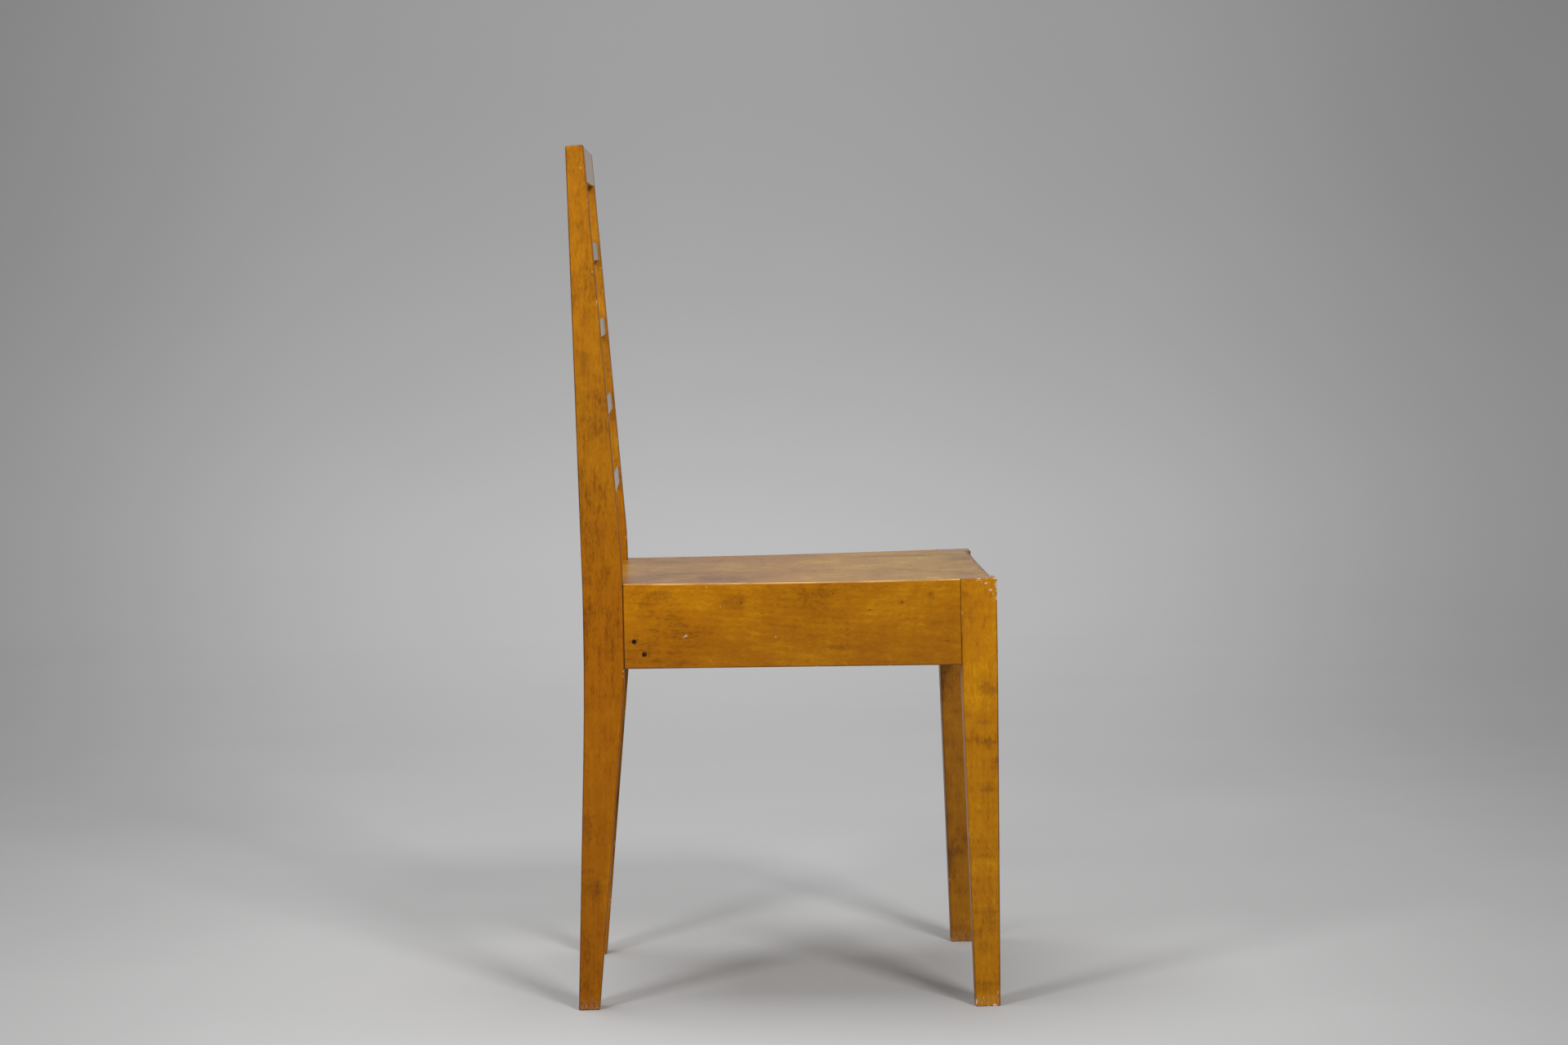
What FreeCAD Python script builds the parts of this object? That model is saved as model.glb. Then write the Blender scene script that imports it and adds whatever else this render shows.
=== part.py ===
import FreeCAD, Part
import os
import Sketcher

# A joined wooden side chair with a ladder back. Millimetres, +Z up, the sitter faces -Y.
# The origin is on the floor, in the middle of the chair's width and depth.
# The sitter's right is -X. The right side is built, and the left side is its mirror image.

SIZES = [
    # the whole chair
    ("total_height", 881, "floor to the front top corner of the rear legs"),
    ("seat_height", 437, "floor to the seat's rim"),
    ("back_width", 374, "over the outer faces of the rear legs"),
    ("front_width", 430, "over the outer faces of the front legs"),
    ("rail_span", 342, "front face of a rear leg to rear face of a front leg"),
    # rear legs, which run on up as the posts of the back
    ("post_thick", 30, "rear leg, across the chair"),
    ("post_depth", 40.7, "rear leg, front to back, at the seat rails"),
    ("post_foot_depth", 21.6, "rear leg, front to back, on the floor"),
    ("post_foot_rake", 12.9, "how far the foot stands behind the leg's back at the rails"),
    ("post_top_depth", 18, "rear leg, front to back, at its top"),
    ("post_top_run", 30.3, "how far the top's front lies behind the leg's front at the rails"),
    ("post_bend_above", 22, "seat rim up to the corner of the front bend"),
    ("post_bend_below", 15, "rail underside down to the corner of the lower front bend"),
    ("post_back_bend_low", 19, "rail underside down to the lower bend of the back edge"),
    ("post_back_bend_high", 7, "seat rim down to the upper bend of the back edge"),
    ("post_front_bend_radius", 560, "curve of the front edge above the seat"),
    ("post_shin_bend_radius", 280, "curve of the front edge under the rails"),
    ("post_back_bend_radius", 1000, "curve of the back edge at the seat"),
    ("post_heel_bend_radius", 3600, "long curve of the back edge under the seat"),
    # front legs
    ("leg_thick", 33, "front leg, across the chair, at the rails"),
    ("leg_depth", 36.4, "front leg, front to back, at the rails"),
    ("leg_foot_thick", 25.5, "front leg, across the chair, on the floor"),
    ("leg_foot_depth", 25.2, "front leg, front to back, on the floor"),
    ("leg_foot_rake", 2.8, "how far the foot's front lies behind the leg's front"),
    ("leg_taper_drop", 13, "rail underside down to where the taper starts"),
    # softened edges
    ("arris", 2, "radius along the legs, rails and slats"),
    ("end_round", 1.4, "radius round the legs' tops and feet"),
    ("nose_radius", 7.5, "radius of the front rail's upper front edge"),
    # seat rails
    ("rail_height", 88, "all four seat rails"),
    ("rail_thick", 22, "all four seat rails"),
    ("rear_rail_inset", 15, "front face of the rear legs to front face of the rear rail"),
    ("rail_lip", 8, "rail left standing round the seat panel"),
    ("joint_groove", 0.5, "width of the line that shows between a side rail and the legs"),
    ("joint_groove_depth", 1.6, "depth of that line"),
    # seat panel
    ("panel_thick", 14, "seat panel at its rim, and depth of its rebate"),
    ("panel_gap", 0.2, "seat panel to the rails' lips and the legs"),
    ("dish_depth", 3, "hollow in the middle of the seat"),
    # back rails
    ("top_rail_height", 36, "top rail, along its face"),
    ("top_rail_thick", 14, "top rail"),
    ("slat_height", 19.5, "slats, along their face"),
    ("slat_thick", 11, "slats"),
    ("slat_setback", 2, "front of the rear legs to front of the slats"),
    ("slats", 4, "slats between the top rail and the seat"),
    ("lowest_gap_share", 1.387, "gap over the seat, of each gap higher up"),
    # tenons and mortises
    ("tenon_thick", 8, "seat rail tenon"),
    ("tenon_inset", 7, "rail's outer face to its tenon"),
    ("tenon_shoulder", 8, "rail's underside to its tenon, and tenon to the rebate"),
    ("tenon_length", 19, "seat rail tenon"),
    ("slat_tenon_length", 14, "tenon of the top rail and the slats"),
    ("slat_tenon_thick", 6, "tenon of the top rail and the slats"),
    ("slat_tenon_shoulder", 3, "edge of a slat or of the top rail to its tenon"),
    ("mortise_play", 0.1, "mortise to tenon, each cheek"),
    ("mortise_well", 1, "mortise deeper than its tenon is long"),
    # corner blocks
    ("block_reach", 56, "corner block along each rail, past the leg"),
    ("block_height", 66, "corner block"),
    ("block_screw_rise", 33, "block's underside to the screws into the rails"),
    ("block_screw_reach", 32, "leg to a screw, along the rail"),
    ("seat_screw_reach", 14, "leg's inner corner to the seat screw, along both rails"),
    # screws
    ("screw_diameter", 4, "wood screw shank"),
    ("screw_head", 7.6, "wood screw head"),
    ("screw_head_height", 2.2, "countersunk head"),
    ("screw_length", 32, "wood screw, head to tip"),
    ("screw_tip", 5, "tapered end of a wood screw"),
    ("screw_point_share", 0.25, "screw's point, of its diameter"),
    ("screw_grip_rail", 18, "block left between a screw's head and the rail"),
    ("screw_grip_seat", 22, "block left between a screw's head and the panel"),
    ("counterbore", 9, "hole that lets a screw's head into a block"),
    # nails in the right side rail, beside the rear leg
    ("nail_head", 5, "nail head"),
    ("nail_head_height", 1.2, "nail head, driven in flush"),
    ("nail_diameter", 2.4, "nail shank"),
    ("nail_length", 36, "nail, head to point"),
    ("nail_1_reach", 10.9, "rear leg to the upper nail, along the rail"),
    ("nail_1_drop", 60.2, "seat rim down to the upper nail"),
    ("nail_2_reach", 21, "rear leg to the lower nail, along the rail"),
    ("nail_2_drop", 73.1, "seat rim down to the lower nail"),
    # how far a cutting or trimming solid runs past what it cuts
    ("overrun", 10, "past the faces of the piece"),
]

doc = FreeCAD.newDocument("chair")
sheet = doc.addObject("Spreadsheet::Sheet", "sizes")
for row, (alias, number, meaning) in enumerate(SIZES, start=1):
    sheet.set(f"A{row}", meaning)
    sheet.set(f"B{row}", str(number))
    sheet.setAlias(f"B{row}", alias)
doc.recompute()

# Places that several pieces share, written in the sheet's sizes.
CHAIR_DEPTH = "(sizes.leg_depth + sizes.rail_span + sizes.post_depth + sizes.post_foot_rake)"
LEG_FRONT = f"(-{CHAIR_DEPTH} / 2)"
LEG_REAR = f"({LEG_FRONT} + sizes.leg_depth)"
POST_FRONT = f"({LEG_REAR} + sizes.rail_span)"
REAR_RAIL_FRONT = f"({POST_FRONT} + sizes.rear_rail_inset)"
RAIL_BOTTOM = "(sizes.seat_height - sizes.rail_height)"
REBATE_LEVEL = "(sizes.seat_height - sizes.panel_thick)"
POST_INNER = "(sizes.post_thick - sizes.back_width / 2)"
LEG_INNER = "(sizes.leg_thick - sizes.front_width / 2)"
BACK_OPENING = "(sizes.back_width - 2 * sizes.post_thick)"
FRONT_OPENING = "(sizes.front_width - 2 * sizes.leg_thick)"
TENON_HEIGHT = "(sizes.rail_height - sizes.panel_thick - 2 * sizes.tenon_shoulder)"
TENON_BOTTOM = f"({RAIL_BOTTOM} + sizes.tenon_shoulder)"
SPLAY_RUN = "((sizes.front_width - sizes.back_width) / 2)"
SPLAY = f"atan({SPLAY_RUN} / sizes.rail_span)"
BEND_LEVEL = "(sizes.seat_height + sizes.post_bend_above)"
LEAN = f"atan(sizes.post_top_run / (sizes.total_height - {BEND_LEVEL}))"
DISH_Y = f"(({LEG_FRONT} + {REAR_RAIL_FRONT} + sizes.rail_thick) / 2)"
DISH_REACH = f"hypot(sizes.front_width / 2 + sizes.overrun; {DISH_Y} - {LEG_FRONT})"
DISH_RADIUS = (f"((pow({DISH_REACH}; 2) + pow(sizes.dish_depth; 2))"
               " / (2 * sizes.dish_depth))")
DISH_Z = f"(sizes.seat_height - sizes.dish_depth + {DISH_RADIUS})"
BACK_CLEAR = f"((sizes.total_height - sizes.seat_height) / cos({LEAN}) - sizes.top_rail_height)"
SLAT_GAP = (f"(({BACK_CLEAR} - sizes.slats * sizes.slat_height)"
            " / (sizes.slats + sizes.lowest_gap_share))")
# Two points closer than this count as one when edges are picked.
NEAR = 0.01
X_AXIS = FreeCAD.Vector(1, 0, 0)
Y_AXIS = FreeCAD.Vector(0, 1, 0)
Z_AXIS = FreeCAD.Vector(0, 0, 1)
nodes = []


def value(expression):
    """The number that an expression gives with the sheet's present sizes."""
    result = sheet.evalExpression(expression)
    return getattr(result, "Value", result)


def place(thing, x="0", y="0", z="0", axis=Z_AXIS, angle="0"):
    """Bind an object's placement: a point, and a turn about an axis."""
    point = FreeCAD.Vector(value(x), value(y), value(z))
    thing.Placement = FreeCAD.Placement(point, FreeCAD.Rotation(axis, value(angle)))
    for name, expression in (("x", x), ("y", y), ("z", z)):
        thing.setExpression(f".Placement.Base.{name}", expression)
    if angle != "0":
        thing.setExpression(".Placement.Rotation.Angle", angle)
    return thing


def new_body(label):
    """An empty body for one piece of wood."""
    body = doc.addObject("PartDesign::Body", label)
    doc.recompute()
    return body


def new_sketch(body, label, role, level="0"):
    """A sketch on one of the body's own origin planes, moved along its normal."""
    sketch = body.newObject("Sketcher::SketchObject", label)
    plane = next(item for item in body.Origin.OriginFeatures if item.Role == role)
    sketch.AttachmentSupport = (plane, [""])
    sketch.MapMode = "FlatFace"
    if level != "0":
        sketch.setExpression(".AttachmentOffset.Base.z", level)
    return sketch


def pin(sketch, kind, line, expression):
    """Hold a point, or the start of a line, at a distance from the sketch's origin."""
    if expression == "0":
        axis = -2 if kind == "DistanceX" else -1
        sketch.addConstraint(Sketcher.Constraint("PointOnObject", line, 1, axis))
        return
    distance = Sketcher.Constraint(kind, -1, 1, line, 1, value(expression))
    number = sketch.addConstraint(distance)
    sketch.setExpression(f"Constraints[{number}]", expression)


def outline(body, label, role, points, level="0"):
    """A closed outline through points given as expressions, with an optional bend radius each.

    The points run anticlockwise. A point with a radius stays where the two straight sides
    would meet, and an arc leads from one to the other.
    """
    sketch = new_sketch(body, label, role, level)
    corners = [FreeCAD.Vector(value(point[0]), value(point[1]), 0) for point in points]
    radii = [value(point[2]) if len(point) > 2 else 0 for point in points]
    starts, ends, arcs = [], [], {}
    for number, (corner, radius) in enumerate(zip(corners, radii)):
        arriving = corner.sub(corners[number - 1]).normalize()
        leaving = corners[(number + 1) % len(corners)].sub(corner).normalize()
        setback = radius * (1 - arriving.dot(leaving)) / arriving.cross(leaving).Length
        ends.append(corner.sub(arriving * setback))
        starts.append(corner.add(leaving * setback))
        if radius:
            left_turn = arriving.cross(leaving).z > 0
            inward = Z_AXIS.cross(arriving) * (radius if left_turn else -radius)
            arcs[number] = (ends[-1].add(inward), left_turn)
    for number in range(len(corners)):
        following = (number + 1) % len(corners)
        sketch.addGeometry(Part.LineSegment(starts[number], ends[following]))
    for number, (across, up, *bend) in enumerate(points):
        before = (number - 1) % len(points)
        if not bend:
            sketch.addConstraint(Sketcher.Constraint("Coincident", before, 2, number, 1))
            pin(sketch, "DistanceX", number, across)
            pin(sketch, "DistanceY", number, up)
            continue
        centre, left_turn = arcs[number]
        first, last = (ends[number], starts[number])[::1 if left_turn else -1]
        circle = Part.Circle(centre, Z_AXIS, radii[number])
        arc = sketch.addGeometry(Part.ArcOfCircle(
            circle, circle.parameter(first), circle.parameter(last)))
        near, far = (1, 2) if left_turn else (2, 1)
        sketch.addConstraint(Sketcher.Constraint("Tangent", before, 2, arc, near))
        sketch.addConstraint(Sketcher.Constraint("Tangent", arc, far, number, 1))
        radius = sketch.addConstraint(Sketcher.Constraint("Radius", arc, radii[number]))
        sketch.setExpression(f"Constraints[{radius}]", bend[0])
        corner = sketch.addGeometry(Part.Point(corners[number]), True)
        sketch.addConstraint(Sketcher.Constraint("PointOnObject", corner, 1, before))
        sketch.addConstraint(Sketcher.Constraint("PointOnObject", corner, 1, number))
        pin(sketch, "DistanceX", corner, across)
        pin(sketch, "DistanceY", corner, up)
    doc.recompute()
    return sketch


def rounded_rectangle(body, label, role, left, low, right, high, radius, level="0"):
    """A rectangle with round corners; its four sides and its radius are expressions."""
    sketch = new_sketch(body, label, role, level)
    x0, y0, x1, y1, r = (value(item) for item in (left, low, right, high, radius))
    sides = [
        ((x0 + r, y0), (x1 - r, y0)),
        ((x1, y0 + r), (x1, y1 - r)),
        ((x1 - r, y1), (x0 + r, y1)),
        ((x0, y1 - r), (x0, y0 + r)),
    ]
    for start, end in sides:
        sketch.addGeometry(Part.LineSegment(FreeCAD.Vector(*start, 0), FreeCAD.Vector(*end, 0)))
    centres = [(x1 - r, y0 + r), (x1 - r, y1 - r), (x0 + r, y1 - r), (x0 + r, y0 + r)]
    quarters = [(-90, 0), (0, 90), (90, 180), (180, 270)]
    for centre, (start, end) in zip(centres, quarters):
        circle = Part.Circle(FreeCAD.Vector(*centre, 0), Z_AXIS, r)
        turn = FreeCAD.Units.Quantity("1 deg").getValueAs("rad").Value
        sketch.addGeometry(Part.ArcOfCircle(circle, start * turn, end * turn))
    for side in range(4):
        corner = side + 4
        sketch.addConstraint(Sketcher.Constraint("Tangent", side, 2, corner, 1))
        sketch.addConstraint(Sketcher.Constraint("Tangent", corner, 2, (side + 1) % 4, 1))
        sketch.addConstraint(Sketcher.Constraint("Vertical" if side % 2 else "Horizontal", side))
    for corner in (5, 6, 7):
        sketch.addConstraint(Sketcher.Constraint("Equal", 4, corner))
    number = sketch.addConstraint(Sketcher.Constraint("Radius", 4, r))
    sketch.setExpression(f"Constraints[{number}]", radius)
    pin(sketch, "DistanceY", 0, low)
    pin(sketch, "DistanceX", 1, right)
    pin(sketch, "DistanceY", 2, high)
    pin(sketch, "DistanceX", 3, left)
    doc.recompute()
    return sketch


def pad(body, sketch, length, both_ways=False, reverse=False):
    """Give a sketch its length, one way or half each way."""
    feature = body.newObject("PartDesign::Pad", f"{sketch.Label}_pad")
    feature.Profile = sketch
    feature.setExpression("Length", length)
    feature.Midplane = both_ways
    feature.Reversed = reverse
    sketch.Visibility = False
    doc.recompute()
    return feature


def soften(body, base, label, radius, wanted):
    """Round the edges of a body's latest feature that the test picks out."""
    edges = enumerate(base.Shape.Edges, start=1)
    names = [f"Edge{number}" for number, edge in edges if wanted(edge)]
    feature = body.newObject("PartDesign::Fillet", label)
    feature.Base = (base, names)
    feature.setExpression("Radius", radius)
    doc.recompute()
    return feature


def hollow(body, label, x, y):
    """Take the seat's shallow round hollow out of a body; x and y are its middle there.

    The hollow runs out just past the front legs, so the rails and the legs' tops share in it.
    """
    ball = body.newObject("PartDesign::SubtractiveSphere", label)
    ball.setExpression("Radius", DISH_RADIUS)
    ball.AttachmentOffset = FreeCAD.Placement()
    place(ball, x, y, DISH_Z)
    doc.recompute()
    return ball


def points_on(edge):
    """An edge's two ends and its middle."""
    return [edge.valueAt(edge.FirstParameter + share * (edge.LastParameter - edge.FirstParameter))
            for share in (0, 1 / 2, 1)]


def runs_along(edge, axis):
    """Whether an edge is straight and lies along an axis."""
    start, middle, end = points_on(edge)
    return max(point.sub(start).cross(axis).Length for point in (middle, end)) < NEAR


def rim_of(edge, normal, distance, level, length):
    """Whether an edge is the long one at the top of a rail's outer face."""
    on_face = all(abs(point.dot(normal) - distance) < NEAR for point in points_on(edge))
    return on_face and edge.CenterOfMass.z > level and edge.Length > length


def box(label, x, y, z, length, width, height, axis=Z_AXIS, angle="0", origin=None):
    """A block with its low corner at x, y, z, in a frame turned about the origin given."""
    block = doc.addObject("Part::Box", label)
    for name, expression in (("Length", length), ("Width", width), ("Height", height)):
        block.setExpression(name, expression)
    if origin is None:
        return place(block, x, y, z)
    ox, oy, oz = origin
    if axis == X_AXIS:
        along = f"({y}) * cos({angle}) - ({z}) * sin({angle})"
        up = f"({y}) * sin({angle}) + ({z}) * cos({angle})"
        return place(block, f"{ox} + {x}", f"{oy} + {along}", f"{oz} + {up}", axis, angle)
    across = f"({x}) * cos({angle}) - ({y}) * sin({angle})"
    along = f"({x}) * sin({angle}) + ({y}) * cos({angle})"
    return place(block, f"{ox} + {across}", f"{oy} + {along}", f"{oz} + {z}", axis, angle)


def fused(label, pieces):
    """Several solids as one."""
    union = doc.addObject("Part::MultiFuse", label)
    union.Shapes = pieces
    union.Refine = True
    doc.recompute()
    return union


def cut(label, base, tools):
    """A solid without what the tools take away."""
    result = doc.addObject("Part::Cut", label)
    result.Base = base
    result.Tool = tools[0] if len(tools) == 1 else fused(f"{label}_tools", tools)
    doc.recompute()
    return result


def mirrored(label, source):
    """The left-hand twin of a right-hand piece."""
    twin = doc.addObject("Part::Mirroring", label)
    twin.Source = source
    twin.Normal = X_AXIS
    twin.Base = FreeCAD.Vector(0, 0, 0)
    doc.recompute()
    return twin


def keep(label, piece):
    """Name a finished piece, which is written out under that name."""
    piece.Label = label
    nodes.append(piece)
    return piece


def back_rail(label, top_drop, height, thick, setback):
    """A rail of the back: a bar between the rear legs, with a tenon at each end.

    top_drop is the distance from the legs' front top corner down along their front.
    Gives the rail and the mortise that it needs in the right rear leg.
    """
    body = new_body(f"{label}_wood")
    inset = f"(({thick}) - sizes.slat_tenon_thick) / 2"
    shoulder = "sizes.slat_tenon_shoulder"
    section = rounded_rectangle(body, f"{label}_section", "YZ_Plane",
                                "0", "0", thick, height, "sizes.arris")
    pad(body, section, BACK_OPENING, both_ways=True)
    tongue = outline(body, f"{label}_tenon", "YZ_Plane", [
        (inset, shoulder),
        (f"{thick} - {inset}", shoulder),
        (f"{thick} - {inset}", f"{height} - {shoulder}"),
        (inset, f"{height} - {shoulder}"),
    ])
    pad(body, tongue, f"{BACK_OPENING} + 2 * sizes.slat_tenon_length", both_ways=True)
    run = f"(({top_drop}) + ({height}))"
    corner = (
        "0",
        f"({POST_FRONT} + sizes.post_top_run - {run} * sin({LEAN}) + {setback} * cos({LEAN}))",
        f"(sizes.total_height - {run} * cos({LEAN}) - {setback} * sin({LEAN}))",
    )
    place(body, *corner, axis=X_AXIS, angle=f"-{LEAN}")
    depth = "(sizes.slat_tenon_length + sizes.mortise_well)"
    mortise = box(f"{label}_mortise",
                  f"({POST_INNER} - {depth})",
                  f"({inset} - sizes.mortise_play)",
                  f"({shoulder} - sizes.mortise_play)",
                  f"{depth} + sizes.overrun",
                  "sizes.slat_tenon_thick + 2 * sizes.mortise_play",
                  f"({height}) - 2 * {shoulder} + 2 * sizes.mortise_play",
                  axis=X_AXIS, angle=f"-{LEAN}", origin=corner)
    doc.recompute()
    return keep(label, body), mortise


def cross_rail(label, front, opening, rebate_in_front, nose):
    """A seat rail across the chair, rebated for the seat panel, with a tenon at each end."""
    body = new_body(f"{label}_wood")
    rebate = "(sizes.rail_thick - sizes.rail_lip)"
    section = [
        ("0", RAIL_BOTTOM),
        ("sizes.rail_thick", RAIL_BOTTOM),
        ("sizes.rail_thick", "sizes.seat_height"),
        (rebate, "sizes.seat_height"),
        (rebate, REBATE_LEVEL),
        ("0", REBATE_LEVEL),
    ]
    if not rebate_in_front:
        section = [
            ("0", RAIL_BOTTOM),
            ("sizes.rail_thick", RAIL_BOTTOM),
            ("sizes.rail_thick", REBATE_LEVEL),
            ("sizes.rail_lip", REBATE_LEVEL),
            ("sizes.rail_lip", "sizes.seat_height"),
            ("0", "sizes.seat_height"),
        ]
    sketch = outline(body, f"{label}_section", "YZ_Plane", section)
    bar = pad(body, sketch, opening, both_ways=True)
    outer = value("0" if not rebate_in_front else "sizes.rail_thick")
    bottom = value(RAIL_BOTTOM)
    mid_height = value(f"({RAIL_BOTTOM} + sizes.seat_height) / 2")
    soften(body, bar, f"{label}_lower_edges", "sizes.arris",
           lambda edge: runs_along(edge, X_AXIS) and abs(edge.CenterOfMass.z - bottom) < NEAR)
    hollowed = hollow(body, f"{label}_hollow", "0", f"{DISH_Y} - {front}")
    soften(body, hollowed, f"{label}_upper_edge", nose,
           lambda edge: rim_of(edge, Y_AXIS, outer, mid_height, value(opening) / 2))
    tenon_front = "sizes.tenon_inset"
    if rebate_in_front:
        tenon_front = "(sizes.rail_thick - sizes.tenon_inset - sizes.tenon_thick)"
    tongue = outline(body, f"{label}_tenon", "YZ_Plane", [
        (tenon_front, TENON_BOTTOM),
        (f"{tenon_front} + sizes.tenon_thick", TENON_BOTTOM),
        (f"{tenon_front} + sizes.tenon_thick", f"{TENON_BOTTOM} + {TENON_HEIGHT}"),
        (tenon_front, f"{TENON_BOTTOM} + {TENON_HEIGHT}"),
    ])
    pad(body, tongue, f"{opening} + 2 * sizes.tenon_length", both_ways=True)
    place(body, y=front)
    depth = "(sizes.tenon_length + sizes.mortise_well)"
    mortise = box(f"{label}_mortise",
                  f"-({opening}) / 2 - {depth}",
                  f"{front} + {tenon_front} - sizes.mortise_play",
                  f"{TENON_BOTTOM} - sizes.mortise_play",
                  f"{depth} + sizes.overrun",
                  "sizes.tenon_thick + 2 * sizes.mortise_play",
                  f"{TENON_HEIGHT} + 2 * sizes.mortise_play")
    doc.recompute()
    return body, mortise


def side_rail():
    """The right side rail: a rebated bar trimmed between the legs, with a long tenon."""
    origin = ("-sizes.back_width / 2", POST_FRONT, "0")
    angle = f"-{SPLAY}"
    slant = f"(sizes.rail_span / cos({SPLAY}))"
    body = new_body("side_rail_wood")
    section = outline(body, "side_rail_section", "XZ_Plane", [
        ("0", RAIL_BOTTOM),
        ("sizes.rail_thick", RAIL_BOTTOM),
        ("sizes.rail_thick", REBATE_LEVEL),
        ("sizes.rail_lip", REBATE_LEVEL),
        ("sizes.rail_lip", "sizes.seat_height"),
        ("0", "sizes.seat_height"),
    ], level="-sizes.overrun")
    bar = pad(body, section, f"{slant} + 2 * sizes.overrun")
    bottom = value(RAIL_BOTTOM)
    mid_height = value(f"({RAIL_BOTTOM} + sizes.seat_height) / 2")
    soften(body, bar, "side_rail_lower_edges", "sizes.arris",
           lambda edge: runs_along(edge, Y_AXIS) and abs(edge.CenterOfMass.z - bottom) < NEAR)
    inward, along = "(sizes.back_width / 2)", f"({DISH_Y} - {POST_FRONT})"
    hollowed = hollow(body, "side_rail_hollow",
                      f"{inward} * cos({SPLAY}) - {along} * sin({SPLAY})",
                      f"{inward} * sin({SPLAY}) + {along} * cos({SPLAY})")
    soften(body, hollowed, "side_rail_upper_edge", "sizes.arris",
           lambda edge: rim_of(edge, X_AXIS, 0, mid_height, value(slant) / 2))
    place(body, *origin, angle=angle)
    between = box("side_rail_trim", "-sizes.front_width", LEG_REAR, "0",
                  "sizes.front_width", "sizes.rail_span", "sizes.total_height")
    trimmed = doc.addObject("Part::Common", "side_rail_bar")
    trimmed.Base = body
    trimmed.Tool = between
    reach = "sizes.tenon_length"
    tongue = box("side_rail_tenon", "sizes.tenon_inset", f"-{slant} - {reach}", TENON_BOTTOM,
                 "sizes.tenon_thick", f"{slant} + 2 * {reach}", TENON_HEIGHT,
                 angle=angle, origin=origin)
    deep = f"({reach} + sizes.mortise_well)"
    mortise = box("side_rail_mortise",
                  "(sizes.tenon_inset - sizes.mortise_play)",
                  f"(-{slant} - {deep})",
                  f"({TENON_BOTTOM} - sizes.mortise_play)",
                  "sizes.tenon_thick + 2 * sizes.mortise_play",
                  f"{slant} + 2 * {deep}",
                  f"{TENON_HEIGHT} + 2 * sizes.mortise_play",
                  angle=angle, origin=origin)
    grooves = [
        box("rear_joint_groove", "-sizes.back_width / 2 - sizes.overrun",
            f"{POST_FRONT} - sizes.joint_groove", f"{RAIL_BOTTOM} - sizes.overrun",
            "sizes.joint_groove_depth + sizes.overrun", "sizes.joint_groove",
            "sizes.rail_height + 2 * sizes.overrun"),
        box("front_joint_groove", "-sizes.front_width / 2 - sizes.overrun", LEG_REAR,
            f"{RAIL_BOTTOM} - sizes.overrun",
            "sizes.joint_groove_depth + sizes.overrun", "sizes.joint_groove",
            "sizes.rail_height + 2 * sizes.overrun"),
    ]
    eased = cut("side_rail_eased", trimmed, grooves)
    return fused("side_rail_joined", [eased, tongue]), mortise


def rear_leg(mortises):
    """The right rear leg: sawn to its bent outline, softened, and mortised."""
    foot_front = "(sizes.post_depth + sizes.post_foot_rake - sizes.post_foot_depth)"
    body = new_body("rear_leg_wood")
    side = outline(body, "rear_leg_outline", "YZ_Plane", [
        (foot_front, "0"),
        ("sizes.post_depth + sizes.post_foot_rake", "0"),
        ("sizes.post_depth", f"{RAIL_BOTTOM} - sizes.post_back_bend_low",
         "sizes.post_heel_bend_radius"),
        ("sizes.post_depth", "sizes.seat_height - sizes.post_back_bend_high",
         "sizes.post_back_bend_radius"),
        (f"sizes.post_top_run + sizes.post_top_depth * cos({LEAN})",
         f"sizes.total_height - sizes.post_top_depth * sin({LEAN})"),
        ("sizes.post_top_run", "sizes.total_height"),
        ("0", BEND_LEVEL, "sizes.post_front_bend_radius"),
        ("0", f"{RAIL_BOTTOM} - sizes.post_bend_below", "sizes.post_shin_bend_radius"),
    ])
    blank = pad(body, side, "sizes.post_thick")
    thick = value("sizes.post_thick")
    top_back = value(f"sizes.total_height - sizes.post_top_depth * sin({LEAN})")

    def arris(edge):
        middle = edge.CenterOfMass
        at_end = middle.z < NEAR or middle.z > top_back - NEAR
        return abs(middle.x) < NEAR or abs(middle.x - thick) < NEAR or at_end

    soften(body, blank, "rear_leg_arrises", "sizes.arris", arris)
    place(body, x="-sizes.back_width / 2", y=POST_FRONT)
    shoulder = box("rear_leg_shoulder", "-sizes.back_width / 2", POST_FRONT, RAIL_BOTTOM,
                   "sizes.post_thick", "2 * sizes.arris", "sizes.rail_height")
    solid = fused("rear_leg_solid", [body, shoulder])
    return cut("rear_leg", solid, mortises)


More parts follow.
